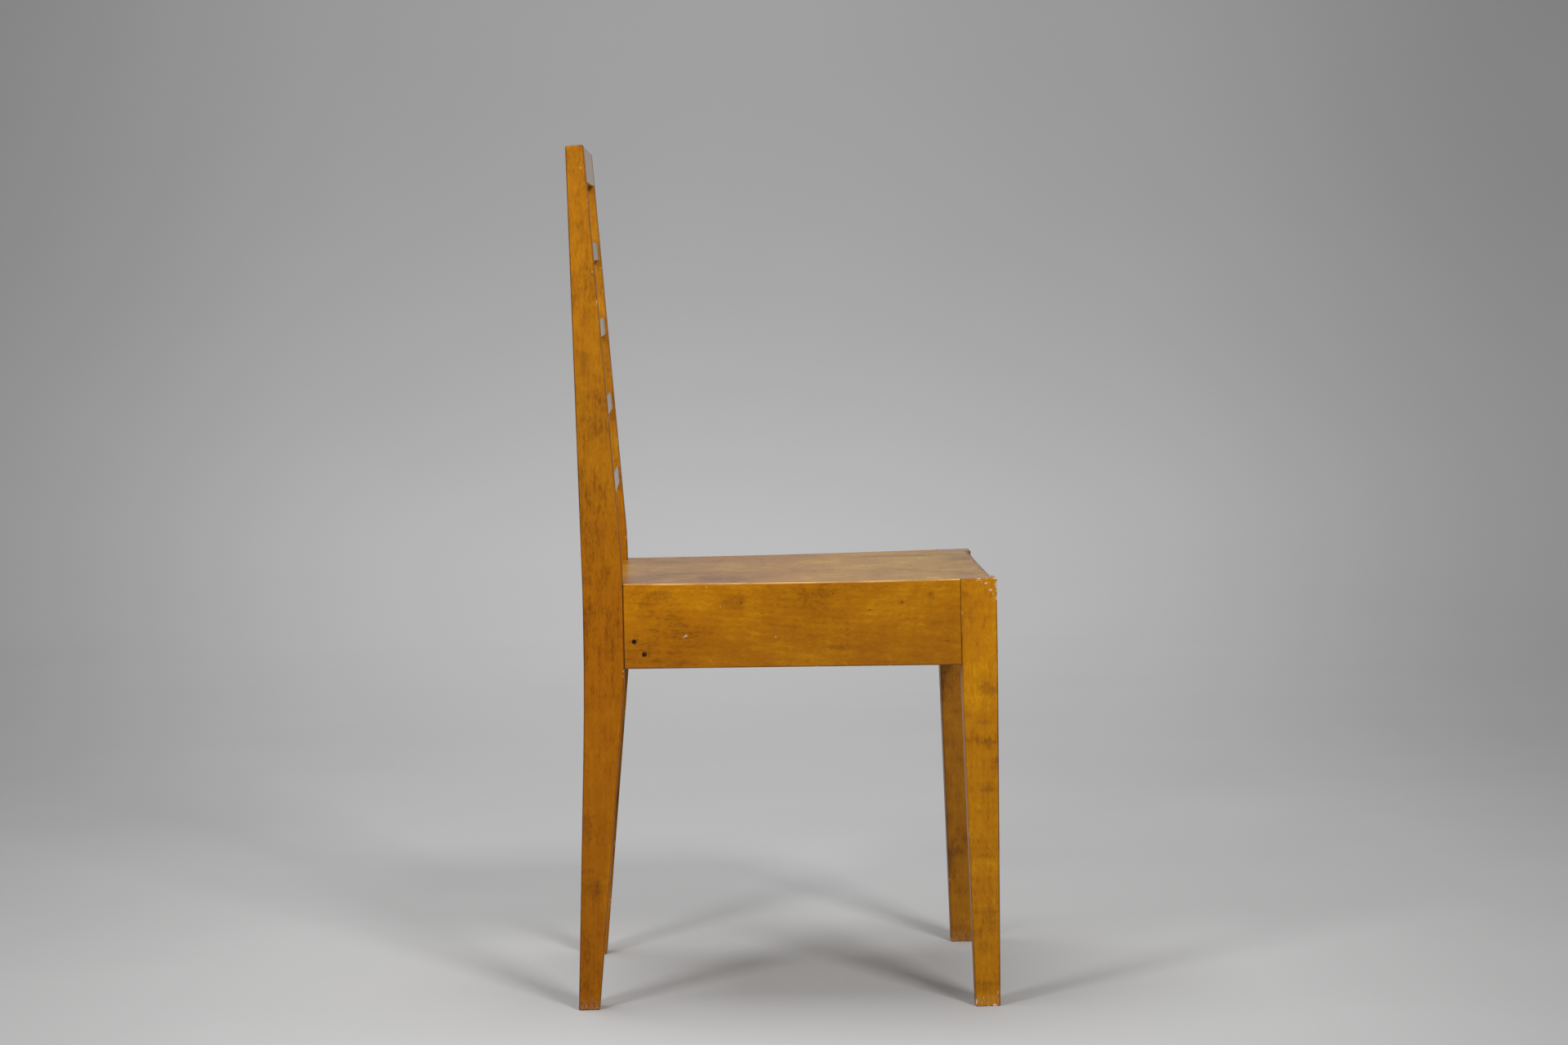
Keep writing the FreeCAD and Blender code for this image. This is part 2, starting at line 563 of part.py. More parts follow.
def front_leg(mortises, dish):
    """The right front leg: square at the rails, tapered below them, and mortised.

    The seat's hollow, which is the dish here, runs on over its top.
    """
    body = new_body("front_leg_wood")
    foot = rounded_rectangle(body, "front_leg_foot", "XY_Plane",
                             "0", "sizes.leg_foot_rake", "sizes.leg_foot_thick",
                             "sizes.leg_foot_rake + sizes.leg_foot_depth", "sizes.arris")
    taper_top = f"({RAIL_BOTTOM} - sizes.leg_taper_drop)"
    square = rounded_rectangle(body, "front_leg_square", "XY_Plane",
                               "0", "0", "sizes.leg_thick", "sizes.leg_depth",
                               "sizes.arris", level=taper_top)
    shin = body.newObject("PartDesign::AdditiveLoft", "front_leg_taper")
    shin.Profile = foot
    shin.Sections = [square]
    shin.Ruled = True
    doc.recompute()
    head = pad(body, square, f"sizes.seat_height - {taper_top}")
    hollowed = hollow(body, "front_leg_hollow",
                      "sizes.front_width / 2", f"{DISH_Y} - {LEG_FRONT}")
    lowest_top = value("sizes.seat_height - sizes.dish_depth")
    soften(body, hollowed, "front_leg_ends", "sizes.end_round",
           lambda edge: edge.BoundBox.ZMax < NEAR or edge.BoundBox.ZMin > lowest_top)
    place(body, x="-sizes.front_width / 2", y=LEG_FRONT)
    behind = box("front_leg_side_shoulder", "-sizes.front_width / 2",
                 f"{LEG_REAR} - 2 * sizes.arris", RAIL_BOTTOM,
                 "sizes.leg_thick", "2 * sizes.arris", "sizes.rail_height")
    inside = box("front_leg_front_shoulder", f"{LEG_INNER} - 2 * sizes.arris", LEG_FRONT,
                 RAIL_BOTTOM, "2 * sizes.arris", "sizes.leg_depth",
                 "sizes.rail_height - sizes.nose_radius")
    squared = cut("front_leg_side_corner", behind, [dish])
    solid = fused("front_leg_solid", [body, squared, inside])
    return cut("front_leg", solid, mortises)


def rail_inner_face(y):
    """X of the right side rail's inner face at a depth y."""
    outer = f"(sizes.back_width / 2 + ({POST_FRONT} - ({y})) * tan({SPLAY}))"
    return f"(sizes.rail_thick / cos({SPLAY}) - {outer})"


def corner_block(label, points):
    """A block glued and screwed into a corner of the seat frame, notched round the leg."""
    body = new_body(f"{label}_wood")
    plan = outline(body, f"{label}_plan", "XY_Plane", points)
    pad(body, plan, "sizes.block_height")
    return place(body, z=f"{REBATE_LEVEL} - sizes.block_height")


def wood_screw(label, x, y, z, axis, angle):
    """A countersunk wood screw; its head's top is at x, y, z and its length runs along the axis."""
    head = doc.addObject("Part::Cone", f"{label}_head")
    head.setExpression("Radius1", "sizes.screw_head / 2")
    head.setExpression("Radius2", "sizes.screw_diameter / 2")
    head.setExpression("Height", "sizes.screw_head_height")
    shank = doc.addObject("Part::Cylinder", f"{label}_shank")
    shank.setExpression("Radius", "sizes.screw_diameter / 2")
    shank.setExpression("Height", "sizes.screw_length - sizes.screw_tip - sizes.screw_head_height")
    place(shank, z="sizes.screw_head_height")
    tip = doc.addObject("Part::Cone", f"{label}_tip")
    tip.setExpression("Radius1", "sizes.screw_diameter / 2")
    tip.setExpression("Radius2", "sizes.screw_diameter / 2 * sizes.screw_point_share")
    tip.setExpression("Height", "sizes.screw_tip")
    place(tip, z="sizes.screw_length - sizes.screw_tip")
    screw = fused(label, [head, shank, tip])
    place(screw, x, y, z, axis=axis, angle=angle)
    well = doc.addObject("Part::Cylinder", f"{label}_counterbore")
    well.setExpression("Radius", "sizes.counterbore / 2")
    well.setExpression("Height", "sizes.block_height")
    back = FreeCAD.Rotation(axis, value(angle)).multVec(Z_AXIS)
    reach = [f"{start} - ({component}) * sizes.block_height"
             for start, component in zip((x, y, z), (round(back.x), round(back.y), round(back.z)))]
    place(well, *reach, axis=axis, angle=angle)
    doc.recompute()
    return screw, well


def nail(label, reach, drop):
    """A nail driven square to the chair's side through the right side rail, head flush."""
    y = f"({POST_FRONT} - {reach})"
    x = f"(-sizes.back_width / 2 - {reach} * tan({SPLAY}))"
    z = f"(sizes.seat_height - {drop})"
    parts = []
    for name, diameter, length in (("head", "sizes.nail_head", "sizes.nail_head_height"),
                                   ("shank", "sizes.nail_diameter", "sizes.nail_length")):
        cylinder = doc.addObject("Part::Cylinder", f"{label}_{name}")
        cylinder.setExpression("Radius", f"{diameter} / 2")
        cylinder.setExpression("Height", length)
        parts.append(cylinder)
    pin_piece = fused(label, parts)
    return place(pin_piece, x, y, z, axis=Y_AXIS, angle="90")


# The back: a top rail flush with the legs' fronts, and four slats set a little behind them.
top_rail, top_rail_mortise = back_rail("top_rail", "0", "sizes.top_rail_height",
                                       "sizes.top_rail_thick", "0")
back_mortises = [top_rail_mortise]
for number in range(1, round(value("sizes.slats")) + 1):
    drop = f"(sizes.top_rail_height + {number} * {SLAT_GAP} + {number - 1} * sizes.slat_height)"
    slat, mortise = back_rail(f"slat_{number}", drop, "sizes.slat_height",
                              "sizes.slat_thick", "sizes.slat_setback")
    back_mortises.append(mortise)

# The seat frame.
front_rail, front_mortise = cross_rail("front_rail", LEG_FRONT, FRONT_OPENING,
                                       rebate_in_front=False, nose="sizes.nose_radius")
rear_rail, rear_mortise = cross_rail("rear_rail", REAR_RAIL_FRONT, BACK_OPENING,
                                     rebate_in_front=True, nose="sizes.arris")
side_rail_solid, side_mortise = side_rail()
rear_leg_right = keep("rear_leg_right", rear_leg(back_mortises + [rear_mortise, side_mortise]))
keep("rear_leg_left", mirrored("rear_leg_left", rear_leg_right))
dish = doc.addObject("Part::Sphere", "seat_dish")
dish.setExpression("Radius", DISH_RADIUS)
place(dish, y=DISH_Y, z=DISH_Z)
front_leg_right = keep("front_leg_right", front_leg([front_mortise, side_mortise], dish))
keep("front_leg_left", mirrored("front_leg_left", front_leg_right))

# Corner blocks under the seat, and their screws.
front_rail_back = f"({LEG_FRONT} + sizes.rail_thick)"
front_block = corner_block("front_block", [
    (rail_inner_face(f"{LEG_REAR} + sizes.block_reach"), f"{LEG_REAR} + sizes.block_reach"),
    (rail_inner_face(LEG_REAR), LEG_REAR),
    (LEG_INNER, LEG_REAR),
    (LEG_INNER, front_rail_back),
    (f"{LEG_INNER} + sizes.block_reach", front_rail_back),
])
rear_block = corner_block("rear_block", [
    (rail_inner_face(f"{POST_FRONT} - sizes.block_reach"), f"{POST_FRONT} - sizes.block_reach"),
    (rail_inner_face(POST_FRONT), POST_FRONT),
    (POST_INNER, POST_FRONT),
    (POST_INNER, REAR_RAIL_FRONT),
    (f"{POST_INNER} + sizes.block_reach", REAR_RAIL_FRONT),
])
screw_level = f"({REBATE_LEVEL} - sizes.block_height + sizes.block_screw_rise)"
seat_screw_level = f"({REBATE_LEVEL} - sizes.screw_grip_seat - sizes.screw_head_height)"
head_off = "(sizes.screw_grip_rail + sizes.screw_head_height)"
front_side_y = f"({LEG_REAR} + sizes.block_screw_reach)"
rear_side_y = f"({POST_FRONT} - sizes.block_screw_reach)"
front_side_screw, front_side_well = wood_screw(
    "front_block_side_screw", f"({rail_inner_face(front_side_y)} + {head_off})", front_side_y,
    screw_level, Y_AXIS, "-90")
front_front_screw, front_front_well = wood_screw(
    "front_block_front_screw", f"({LEG_INNER} + sizes.block_screw_reach)",
    f"({front_rail_back} + {head_off})", screw_level, X_AXIS, "90")
front_seat_screw, front_seat_well = wood_screw(
    "front_block_seat_screw", f"({LEG_INNER} + sizes.seat_screw_reach)",
    f"({LEG_REAR} + sizes.seat_screw_reach)", seat_screw_level, Z_AXIS, "0")
rear_side_screw, rear_side_well = wood_screw(
    "rear_block_side_screw", f"({rail_inner_face(rear_side_y)} + {head_off})", rear_side_y,
    screw_level, Y_AXIS, "-90")
rear_rear_screw, rear_rear_well = wood_screw(
    "rear_block_rear_screw", f"({POST_INNER} + sizes.block_screw_reach)",
    f"({REAR_RAIL_FRONT} - {head_off})", screw_level, X_AXIS, "-90")
rear_seat_screw, rear_seat_well = wood_screw(
    "rear_block_seat_screw", f"({POST_INNER} + sizes.seat_screw_reach)",
    f"({POST_FRONT} - sizes.seat_screw_reach)", seat_screw_level, Z_AXIS, "0")

nails = [nail("nail_1", "sizes.nail_1_reach", "sizes.nail_1_drop"),
         nail("nail_2", "sizes.nail_2_reach", "sizes.nail_2_drop")]
front_block_drilled = cut("front_block_drilled", front_block, [
    front_side_screw, front_side_well, front_front_screw, front_front_well,
    front_seat_screw, front_seat_well])
rear_block_drilled = cut("rear_block_drilled", rear_block, [
    rear_side_screw, rear_side_well, rear_rear_screw, rear_rear_well,
    rear_seat_screw, rear_seat_well])
keep("corner_block_front_right", front_block_drilled)
keep("corner_block_front_left", mirrored("corner_block_front_left", front_block_drilled))
keep("corner_block_rear_right", cut("rear_block_nailed", rear_block_drilled, nails))
keep("corner_block_rear_left", mirrored("corner_block_rear_left", rear_block_drilled))

side_rail_drilled = cut("side_rail_drilled", side_rail_solid, [front_side_screw, rear_side_screw])
keep("side_rail_right", cut("side_rail_nailed", side_rail_drilled, nails))
keep("side_rail_left", mirrored("side_rail_left", side_rail_drilled))
front_screw_twin = mirrored("front_block_front_screw_left", front_front_screw)
keep("front_rail", cut("front_rail_drilled", front_rail, [front_front_screw, front_screw_twin]))
rear_screw_twin = mirrored("rear_block_rear_screw_left", rear_rear_screw)
keep("rear_rail", cut("rear_rail_drilled", rear_rail, [rear_rear_screw, rear_screw_twin]))

# The seat panel: let into the rails' rebates, notched round the legs, and hollowed.
panel_body = new_body("seat_panel_wood")
panel_front = f"({LEG_FRONT} + sizes.rail_lip + sizes.panel_gap)"
panel_rear = f"({REAR_RAIL_FRONT} + sizes.rail_thick - sizes.rail_lip - sizes.panel_gap)"
side_margin = f"((sizes.rail_lip + sizes.panel_gap) / cos({SPLAY}))"


def panel_half_width(y):
    """Half the panel's width at a depth y, inside the side rails' lips."""
    return f"(sizes.back_width / 2 + ({POST_FRONT} - ({y})) * tan({SPLAY}) - {side_margin})"


panel_plan = outline(panel_body, "seat_panel_plan", "XY_Plane", [
    (f"-{panel_half_width(panel_front)}", panel_front),
    (panel_half_width(panel_front), panel_front),
    (panel_half_width(panel_rear), panel_rear),
    (f"-{panel_half_width(panel_rear)}", panel_rear),
])
pad(panel_body, panel_plan, "sizes.panel_thick")
place(panel_body, z=REBATE_LEVEL)
notches = []
for side, low_leg, low_post in (
        ("right", "-sizes.front_width / 2 - sizes.overrun", "-sizes.back_width / 2 - sizes.overrun"),
        ("left", "sizes.front_width / 2 - sizes.leg_thick - sizes.panel_gap",
         "sizes.back_width / 2 - sizes.post_thick - sizes.panel_gap")):
    notches.append(box(f"leg_notch_{side}", low_leg, f"{LEG_FRONT} - sizes.overrun",
                       f"{REBATE_LEVEL} - sizes.overrun",
                       "sizes.leg_thick + sizes.panel_gap + sizes.overrun",
                       "sizes.leg_depth + sizes.panel_gap + sizes.overrun",
                       "sizes.panel_thick + 2 * sizes.overrun"))
    notches.append(box(f"post_notch_{side}", low_post, f"{POST_FRONT} - sizes.panel_gap",
                       f"{REBATE_LEVEL} - sizes.overrun",
                       "sizes.post_thick + sizes.panel_gap + sizes.overrun",
                       "sizes.post_depth + sizes.overrun",
                       "sizes.panel_thick + 2 * sizes.overrun"))
seat_screws = [front_seat_screw, rear_seat_screw]
seat_screw_twins = [mirrored(f"{screw.Name}_left", screw) for screw in seat_screws]
panel = cut("seat_panel", panel_body, notches + [dish] + seat_screws + seat_screw_twins)
keep("seat_panel", panel)


def group(label, pieces):
    """Like fasteners kept together as separate solids of one node."""
    bundle = doc.addObject("Part::Compound", label)
    bundle.Links = pieces
    doc.recompute()
    return keep(label, bundle)


side_screws = [front_side_screw, rear_side_screw]
side_screw_twins = [mirrored(f"{screw.Name}_left", screw) for screw in side_screws]
group("block_screws", side_screws + side_screw_twins
      + [front_front_screw, front_screw_twin, rear_rear_screw, rear_screw_twin])
group("seat_screws", seat_screws + seat_screw_twins)
group("rail_nails", nails)

doc.recompute()
for item in doc.Objects:
    if "Invalid" in item.State or "Error" in item.State:
        raise RuntimeError(f"{item.Label} did not compute: {item.State}")
for node in nodes:
    if node.Shape.isNull() or not node.Shape.isValid():
        raise RuntimeError(f"{node.Label} has no valid shape")
os.makedirs("parts", exist_ok=True)
for node in nodes:
    node.Shape.exportStep(f"parts/{node.Label}.step")
    bounds = node.Shape.BoundBox
    print(f"{node.Label}: {len(node.Shape.Solids)} solid(s), {node.Shape.Volume:.0f} mm3, "
          f"x {bounds.XMin:.1f} to {bounds.XMax:.1f}, y {bounds.YMin:.1f} to {bounds.YMax:.1f}, "
          f"z {bounds.ZMin:.1f} to {bounds.ZMax:.1f}")
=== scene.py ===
import math

import bmesh
import bpy
import numpy as np
from mathutils import Matrix, Vector, noise


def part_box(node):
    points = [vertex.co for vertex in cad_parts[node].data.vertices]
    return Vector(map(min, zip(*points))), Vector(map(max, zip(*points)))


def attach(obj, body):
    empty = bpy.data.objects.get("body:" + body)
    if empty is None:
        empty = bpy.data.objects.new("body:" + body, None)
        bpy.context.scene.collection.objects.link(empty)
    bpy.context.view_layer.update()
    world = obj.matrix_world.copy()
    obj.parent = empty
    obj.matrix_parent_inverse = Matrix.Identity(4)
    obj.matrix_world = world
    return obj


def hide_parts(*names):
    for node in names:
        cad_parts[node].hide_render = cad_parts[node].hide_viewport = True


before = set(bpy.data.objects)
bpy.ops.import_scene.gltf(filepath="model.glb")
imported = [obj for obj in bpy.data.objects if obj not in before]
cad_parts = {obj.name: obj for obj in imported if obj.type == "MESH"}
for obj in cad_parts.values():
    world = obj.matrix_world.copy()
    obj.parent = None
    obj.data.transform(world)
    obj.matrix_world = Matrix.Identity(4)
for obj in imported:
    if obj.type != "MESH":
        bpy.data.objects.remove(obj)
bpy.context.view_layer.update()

# A joined side chair with a ladder back, in stained and varnished birch.
# Metres, +Z up. The sitter faces -Y, and the sitter's right is -X.

bl_info = {
    "name": "Ladder-back side chair",
    "version": (1, 0, 0),
    "blender": (4, 5, 0),
    "location": "3D View > Sidebar > Chair",
    "description": "Dresses the chair's pieces in worn varnished birch and sets up a studio",
    "category": "Object",
}

BODY = "root"
SEAT_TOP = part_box("front_leg_right")[1].z
PANEL_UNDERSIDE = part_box("seat_panel")[0].z
RAIL_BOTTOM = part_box("side_rail_right")[0].z
REAR_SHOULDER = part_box("rear_leg_right")[0].y
FRONT_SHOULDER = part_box("front_leg_right")[1].y
POST_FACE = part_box("rear_leg_right")[0].x
LEG_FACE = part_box("front_leg_right")[0].x
BACK_RAILS = ("top_rail", "slat_1", "slat_2", "slat_3", "slat_4")

# Points closer together than this are the same point.
NEAR = 1e-6

# How the grain, which runs along X, is turned to lie along each axis.
TURNS = {"X": (0, 0, 0), "Y": (0, 0, -math.pi / 2), "Z": (0, math.pi / 2, 0)}

# How far a mark reaches in from the face it lies on, and how high up a foot is scraped.
MARK_REACH = 0.006
FOOT_SCRAPES = 0.016

# The photograph's camera: its place, its turns in degrees, and its lens in millimetres.
CAMERA_PLACE = (-4.4025, 0.0831, 0.7599)
CAMERA_YAW, CAMERA_PITCH, CAMERA_ROLL = 1.168, -3.594, -1.088
CAMERA_SENSOR, CAMERA_LENS = 36, 95.625


def colour(name, text, value):
    """A colour that the user can change."""
    return bpy.props.FloatVectorProperty(
        name=name, description=text, default=value, subtype="COLOR", size=3, min=0, max=1)


def length(name, text, value):
    """A length that the user can change."""
    return bpy.props.FloatProperty(
        name=name, description=text, default=value, unit="LENGTH", min=0, precision=4)


def share(name, text, value):
    """A share from 0 to 1 that the user can change."""
    return bpy.props.FloatProperty(
        name=name, description=text, default=value, subtype="FACTOR", min=0, max=1)


def power(name, text, value):
    """A light's power that the user can change."""
    return bpy.props.FloatProperty(
        name=name, description=text, default=value, unit="POWER", min=0)


class ChairFinish(bpy.types.PropertyGroup):
    """Colours and gloss of the wood."""
    light: colour("Light wood", "Stained birch where it is lightest", (0.56, 0.250, 0.005))
    middle: colour("Wood", "Stained birch, its usual colour", (0.40, 0.146, 0.0010))
    dark: colour("Dark wood", "Stained birch in its darker clouds", (0.190, 0.060, 0.0010))
    pore: colour("Pores", "Short dark flecks in the grain", (0.105, 0.030, 0.004))
    joint: colour("Joint line", "Dark varnish gathered in the joints", (0.075, 0.022, 0.002))
    # This colour also paints shade along the edges that face one way along Y.
    edge_dirt_and_shade: colour("Grime", "Dirt along the edges", (0.050, 0.018, 0.010))
    # This colour also paints a highlight along the side rails' top edges, besides rubbed wear and
    # chipped wood.
    rub_and_highlight: colour("Rubbed edge", "Stain rubbed thin along an edge", (0.80, 0.46, 0.16))
    bare: colour("Bare wood", "Wood where the varnish has chipped off", (0.62, 0.47, 0.35))
    raw: colour("Unfinished wood", "Birch inside the seat frame", (0.52, 0.33, 0.15))
    ring_spacing: length("Ring spacing", "Between the growth rings", 0.0042)
    roughness: share("Roughness", "Varnish on the seat rails", 0.25)
    leg_roughness: share("Leg roughness", "Duller varnish on the legs and posts", 0.40)
    seat_roughness: share("Seat roughness", "Worn varnish on the seat", 0.27)


class ChairFastenings(bpy.types.PropertyGroup):
    """Screws and nails."""
    steel: colour("Screw steel", "Dull steel of the wood screws", (0.30, 0.28, 0.26))
    iron: colour("Nail iron", "Blackened heads of the nails", (0.010, 0.006, 0.006))
    rust: colour("Rust", "Rust in patches on screws and nails", (0.11, 0.036, 0.012))


class ChairStudio(bpy.types.PropertyGroup):
    """Floor, backdrop and light."""
    paper: colour("Backdrop", "Floor and backdrop in one sweep", (0.56, 0.56, 0.56))
    sky: colour("Ambient", "Light from all round", (0.12, 0.12, 0.12))
    wash: colour("Backdrop wash", "Light that washes the backdrop", (0.30, 0.30, 0.30))
    overhead_power: power("Overhead light", "Large soft light over the chair", 39)
    front_power: power("Front light", "Soft light at the camera's right", 128)
    side_power: power("Side light", "Small soft light at the camera's left", 16)


# Shader building

def feed(tree, made, feeds):
    """Feed a node's inputs with sockets or plain values."""
    for key, source in feeds.items():
        if isinstance(source, bpy.types.NodeSocket):
            tree.links.new(source, made.inputs[key])
        else:
            made.inputs[key].default_value = source
    return made


def put(tree, kind, feeds, **settings):
    """Add a node, set it up and feed its inputs."""
    made = tree.nodes.new(kind)
    for name, setting in settings.items():
        setattr(made, name, setting)
    return feed(tree, made, feeds)


def calc(tree, operation, *values):
    """One step of arithmetic."""
    return put(tree, "ShaderNodeMath", dict(enumerate(values)), operation=operation).outputs[0]


def times(tree, value, *others):
    """Values multiplied together."""
    for other in others:
        value = calc(tree, "MULTIPLY", value, other)
    return value


def ease(tree, value, start, end, low=0.0, high=1.0):
    """A value that passes softly from low at start to high at end."""
    feeds = {"Value": value, "From Min": start, "From Max": end, "To Min": low, "To Max": high}
    made = put(tree, "ShaderNodeMapRange", feeds, interpolation_type="SMOOTHSTEP")
    return made.outputs["Result"]


def mix(tree, factor, first, second, mode="MIX"):
    """Two colours mixed; index 0 is the factor, 6 and 7 are the colours."""
    made = put(tree, "ShaderNodeMix", {0: factor, 6: first, 7: second},
               data_type="RGBA", blend_type=mode)
    return made.outputs[2]


def mix_value(tree, factor, first, second):
    """Two values mixed."""
    return put(tree, "ShaderNodeMix", {0: factor, 2: first, 3: second}).outputs[0]


def blend(tree, operation, first, second):
    """One step of arithmetic on two vectors, part by part."""
    made = put(tree, "ShaderNodeVectorMath", {0: first, 1: second}, operation=operation)
    return made.outputs[0]


def brightened(tree, shade, factor):
    """A colour multiplied by a value."""
    made = put(tree, "ShaderNodeVectorMath", {0: shade, "Scale": factor}, operation="SCALE")
    return made.outputs[0]


def size_of(tree, vector):
    """A vector's length."""
    made = put(tree, "ShaderNodeVectorMath", {0: vector}, operation="LENGTH")
    return made.outputs["Value"]


def parts_of(tree, vector):
    """A vector's X, Y and Z."""
    return put(tree, "ShaderNodeSeparateXYZ", {0: vector}).outputs


def facing(tree):
    """The direction that the surface looks in."""
    return put(tree, "ShaderNodeNewGeometry", {}).outputs["Normal"]


def grains(tree, vector, stretch, detail=2.0, rough=0.5, twist=0.0):
    """Noise with so many waves per metre along each axis."""
    feeds = {"Vector": blend(tree, "MULTIPLY", vector, stretch), "Scale": 1.0,
             "Detail": detail, "Roughness": rough, "Distortion": twist}
    return put(tree, "ShaderNodeTexNoise", feeds).outputs["Fac"]


def bumps(tree, height, depth, strength):
    """The surface's direction, roughened by a height; depth is in metres."""
    return put(tree, "ShaderNodeBump", {"Height": height, "Distance": depth,
                                        "Strength": strength}).outputs[0]


def new_group(name, inputs, outputs):
    """An empty node group with its sockets."""
    tree = bpy.data.node_groups.new(name, "ShaderNodeTree")
    kinds = {"v": "NodeSocketVector", "f": "NodeSocketFloat", "c": "NodeSocketColor"}
    for label, kind, default in inputs:
        socket = tree.interface.new_socket(name=label, in_out="INPUT", socket_type=kinds[kind])
        socket.default_value = default
    for label, kind in outputs:
        tree.interface.new_socket(name=label, in_out="OUTPUT", socket_type=kinds[kind])
    return tree, tree.nodes.new("NodeGroupInput").outputs, tree.nodes.new("NodeGroupOutput")


def use(tree, group, feeds):
    """Place a node group in a tree and feed it."""
    return put(tree, "ShaderNodeGroup", feeds, node_tree=group).outputs


def opaque(rgb):
    """A colour with its alpha."""
    return (*rgb, 1.0)


def once(name, build):
    """The node group of that name, built on first use."""
    return bpy.data.node_groups.get(name) or build(name)


def birch(name):
    """Stained birch: growth rings, fibres, clouds and pores. The grain runs along X."""
    tree, given, result = new_group(name, [
        ("Vector", "v", (0, 0, 0)), ("Pith", "v", (0, 0.05, 0.06)),
        ("Light", "c", (1, 1, 1, 1)), ("Middle", "c", (1, 1, 1, 1)), ("Dark", "c", (0, 0, 0, 1)),
        ("Pore", "c", (0, 0, 0, 1)), ("Rings", "f", 0.10), ("Clouds", "f", 0.5),
        ("Curl", "f", 0.1), ("Pores", "f", 0.7), ("Spacing", "f", 0.004),
    ], [("Color", "c"), ("Tone", "f"), ("Height", "f")])
    grain = given["Vector"]
    sway = put(tree, "ShaderNodeTexNoise", {
        "Vector": blend(tree, "MULTIPLY", grain, (4, 11, 11)), "Scale": 1.0, "Detail": 2.0})
    centred = blend(tree, "SUBTRACT", sway.outputs["Color"], (0.5, 0.5, 0.5))
    drift = blend(tree, "MULTIPLY", centred, (0.0, 0.013, 0.013))
    waved = blend(tree, "ADD", grain, drift)
    from_pith = blend(tree, "SUBTRACT", waved, given["Pith"])
    radius = size_of(tree, blend(tree, "MULTIPLY", from_pith, (0.10, 1, 1)))
    turns = times(tree, calc(tree, "DIVIDE", radius, given["Spacing"]), math.tau)
    ring = calc(tree, "SINE", turns)
    fibre = grains(tree, waved, (24, 280, 280), detail=4.0, rough=0.62)
    fleck = grains(tree, waved, (210, 640, 640), detail=3.0, rough=0.6)
    fine = grains(tree, waved, (60, 1700, 1700), detail=2.0)
    cloud = grains(tree, grain, (12, 22, 22), detail=5.0, rough=0.62, twist=0.5)
    mottle = grains(tree, grain, (70, 130, 130), detail=3.0, rough=0.62, twist=0.5)
    broad = grains(tree, grain, (2.6, 8, 8), detail=1.0)
    curl = grains(tree, waved, (75, 9, 9), detail=2.0, rough=0.55)
    tone = 0.5
    for value, weight in ((cloud, given["Clouds"]), (broad, 0.30), (mottle, 0.26),
                          (fibre, 0.18), (fleck, 0.32), (fine, 0.16), (curl, given["Curl"])):
        offset = calc(tree, "SUBTRACT", value, 0.5)
        tone = calc(tree, "MULTIPLY_ADD", offset, weight, tone)
    tone = calc(tree, "MULTIPLY_ADD", ring, given["Rings"], tone)
    low = mix(tree, ease(tree, tone, 0.26, 0.51), given["Dark"], given["Middle"])
    body = mix(tree, ease(tree, tone, 0.48, 0.76), low, given["Light"])
    cells = put(tree, "ShaderNodeTexVoronoi", {
        "Vector": blend(tree, "MULTIPLY", waved, (130, 780, 780)), "Scale": 1.0})
    chosen = put(tree, "ShaderNodeSeparateColor", {0: cells.outputs["Color"]})
    crowd = ease(tree, grains(tree, grain, (14, 40, 40), detail=2.0), 0.47, 0.66)
    pore = times(tree, ease(tree, cells.outputs["Distance"], 0.42, 0.16),
                 ease(tree, chosen.outputs[0], 0.72, 0.80),
                 calc(tree, "MULTIPLY_ADD", crowd, 0.8, 0.2), given["Pores"])
    height = calc(tree, "MULTIPLY_ADD", pore, -0.7, times(tree, fibre, 0.5))
    feed(tree, result, {"Color": mix(tree, pore, body, given["Pore"]), "Tone": tone,
                        "Height": height})
    return tree


def edge_wear_and_shade(name):
    """Where a piece's rounded edges are, broken up as hands and brooms wear them.

    Edges that look the way of Lean along Y get more dirt and painted shade, and the others more
    wear and a painted sheen.
    """
    tree, given, result = new_group(name, [("Vector", "v", (0, 0, 0)), ("Lean", "f", 0.0)],
                                    [("Edge", "f"), ("Worn", "f"), ("Grimy", "f")])
    looks = facing(tree)
    squareness = parts_of(tree, put(tree, "ShaderNodeVectorMath", {0: looks},
                                    operation="ABSOLUTE").outputs[0])
    flattest = calc(tree, "MAXIMUM", squareness[0],
                    calc(tree, "MAXIMUM", squareness[1], squareness[2]))
    edge = ease(tree, flattest, 0.985, 0.90)
    behind = times(tree, given["Lean"], parts_of(tree, looks)[1])
    patchy = grains(tree, given["Vector"], (48, 48, 48), detail=3.0, rough=0.6)
    dirty = grains(tree, given["Vector"], (17, 17, 17), detail=5.0, rough=0.66)
    small = grains(tree, given["Vector"], (320, 320, 320), detail=2.0)
    # Wear on the edges that face away from Lean, with a painted sheen there.
    wear_sheen_mask = times(tree, edge, ease(tree, patchy, 0.56, 0.72), ease(tree, small, 0.42, 0.60),
                 ease(tree, behind, 0.3, -0.3, 0.5, 1.6))
    # Dirt on the edges that face the way of Lean, with painted shade there.
    dirt_shade_mask = times(tree, edge, ease(tree, dirty, 0.72, 0.42),
                  ease(tree, behind, -0.3, 0.4, 0.35, 1.0))
    feed(tree, result, {"Edge": edge, "Worn": wear_sheen_mask, "Grimy": dirt_shade_mask})
    return tree


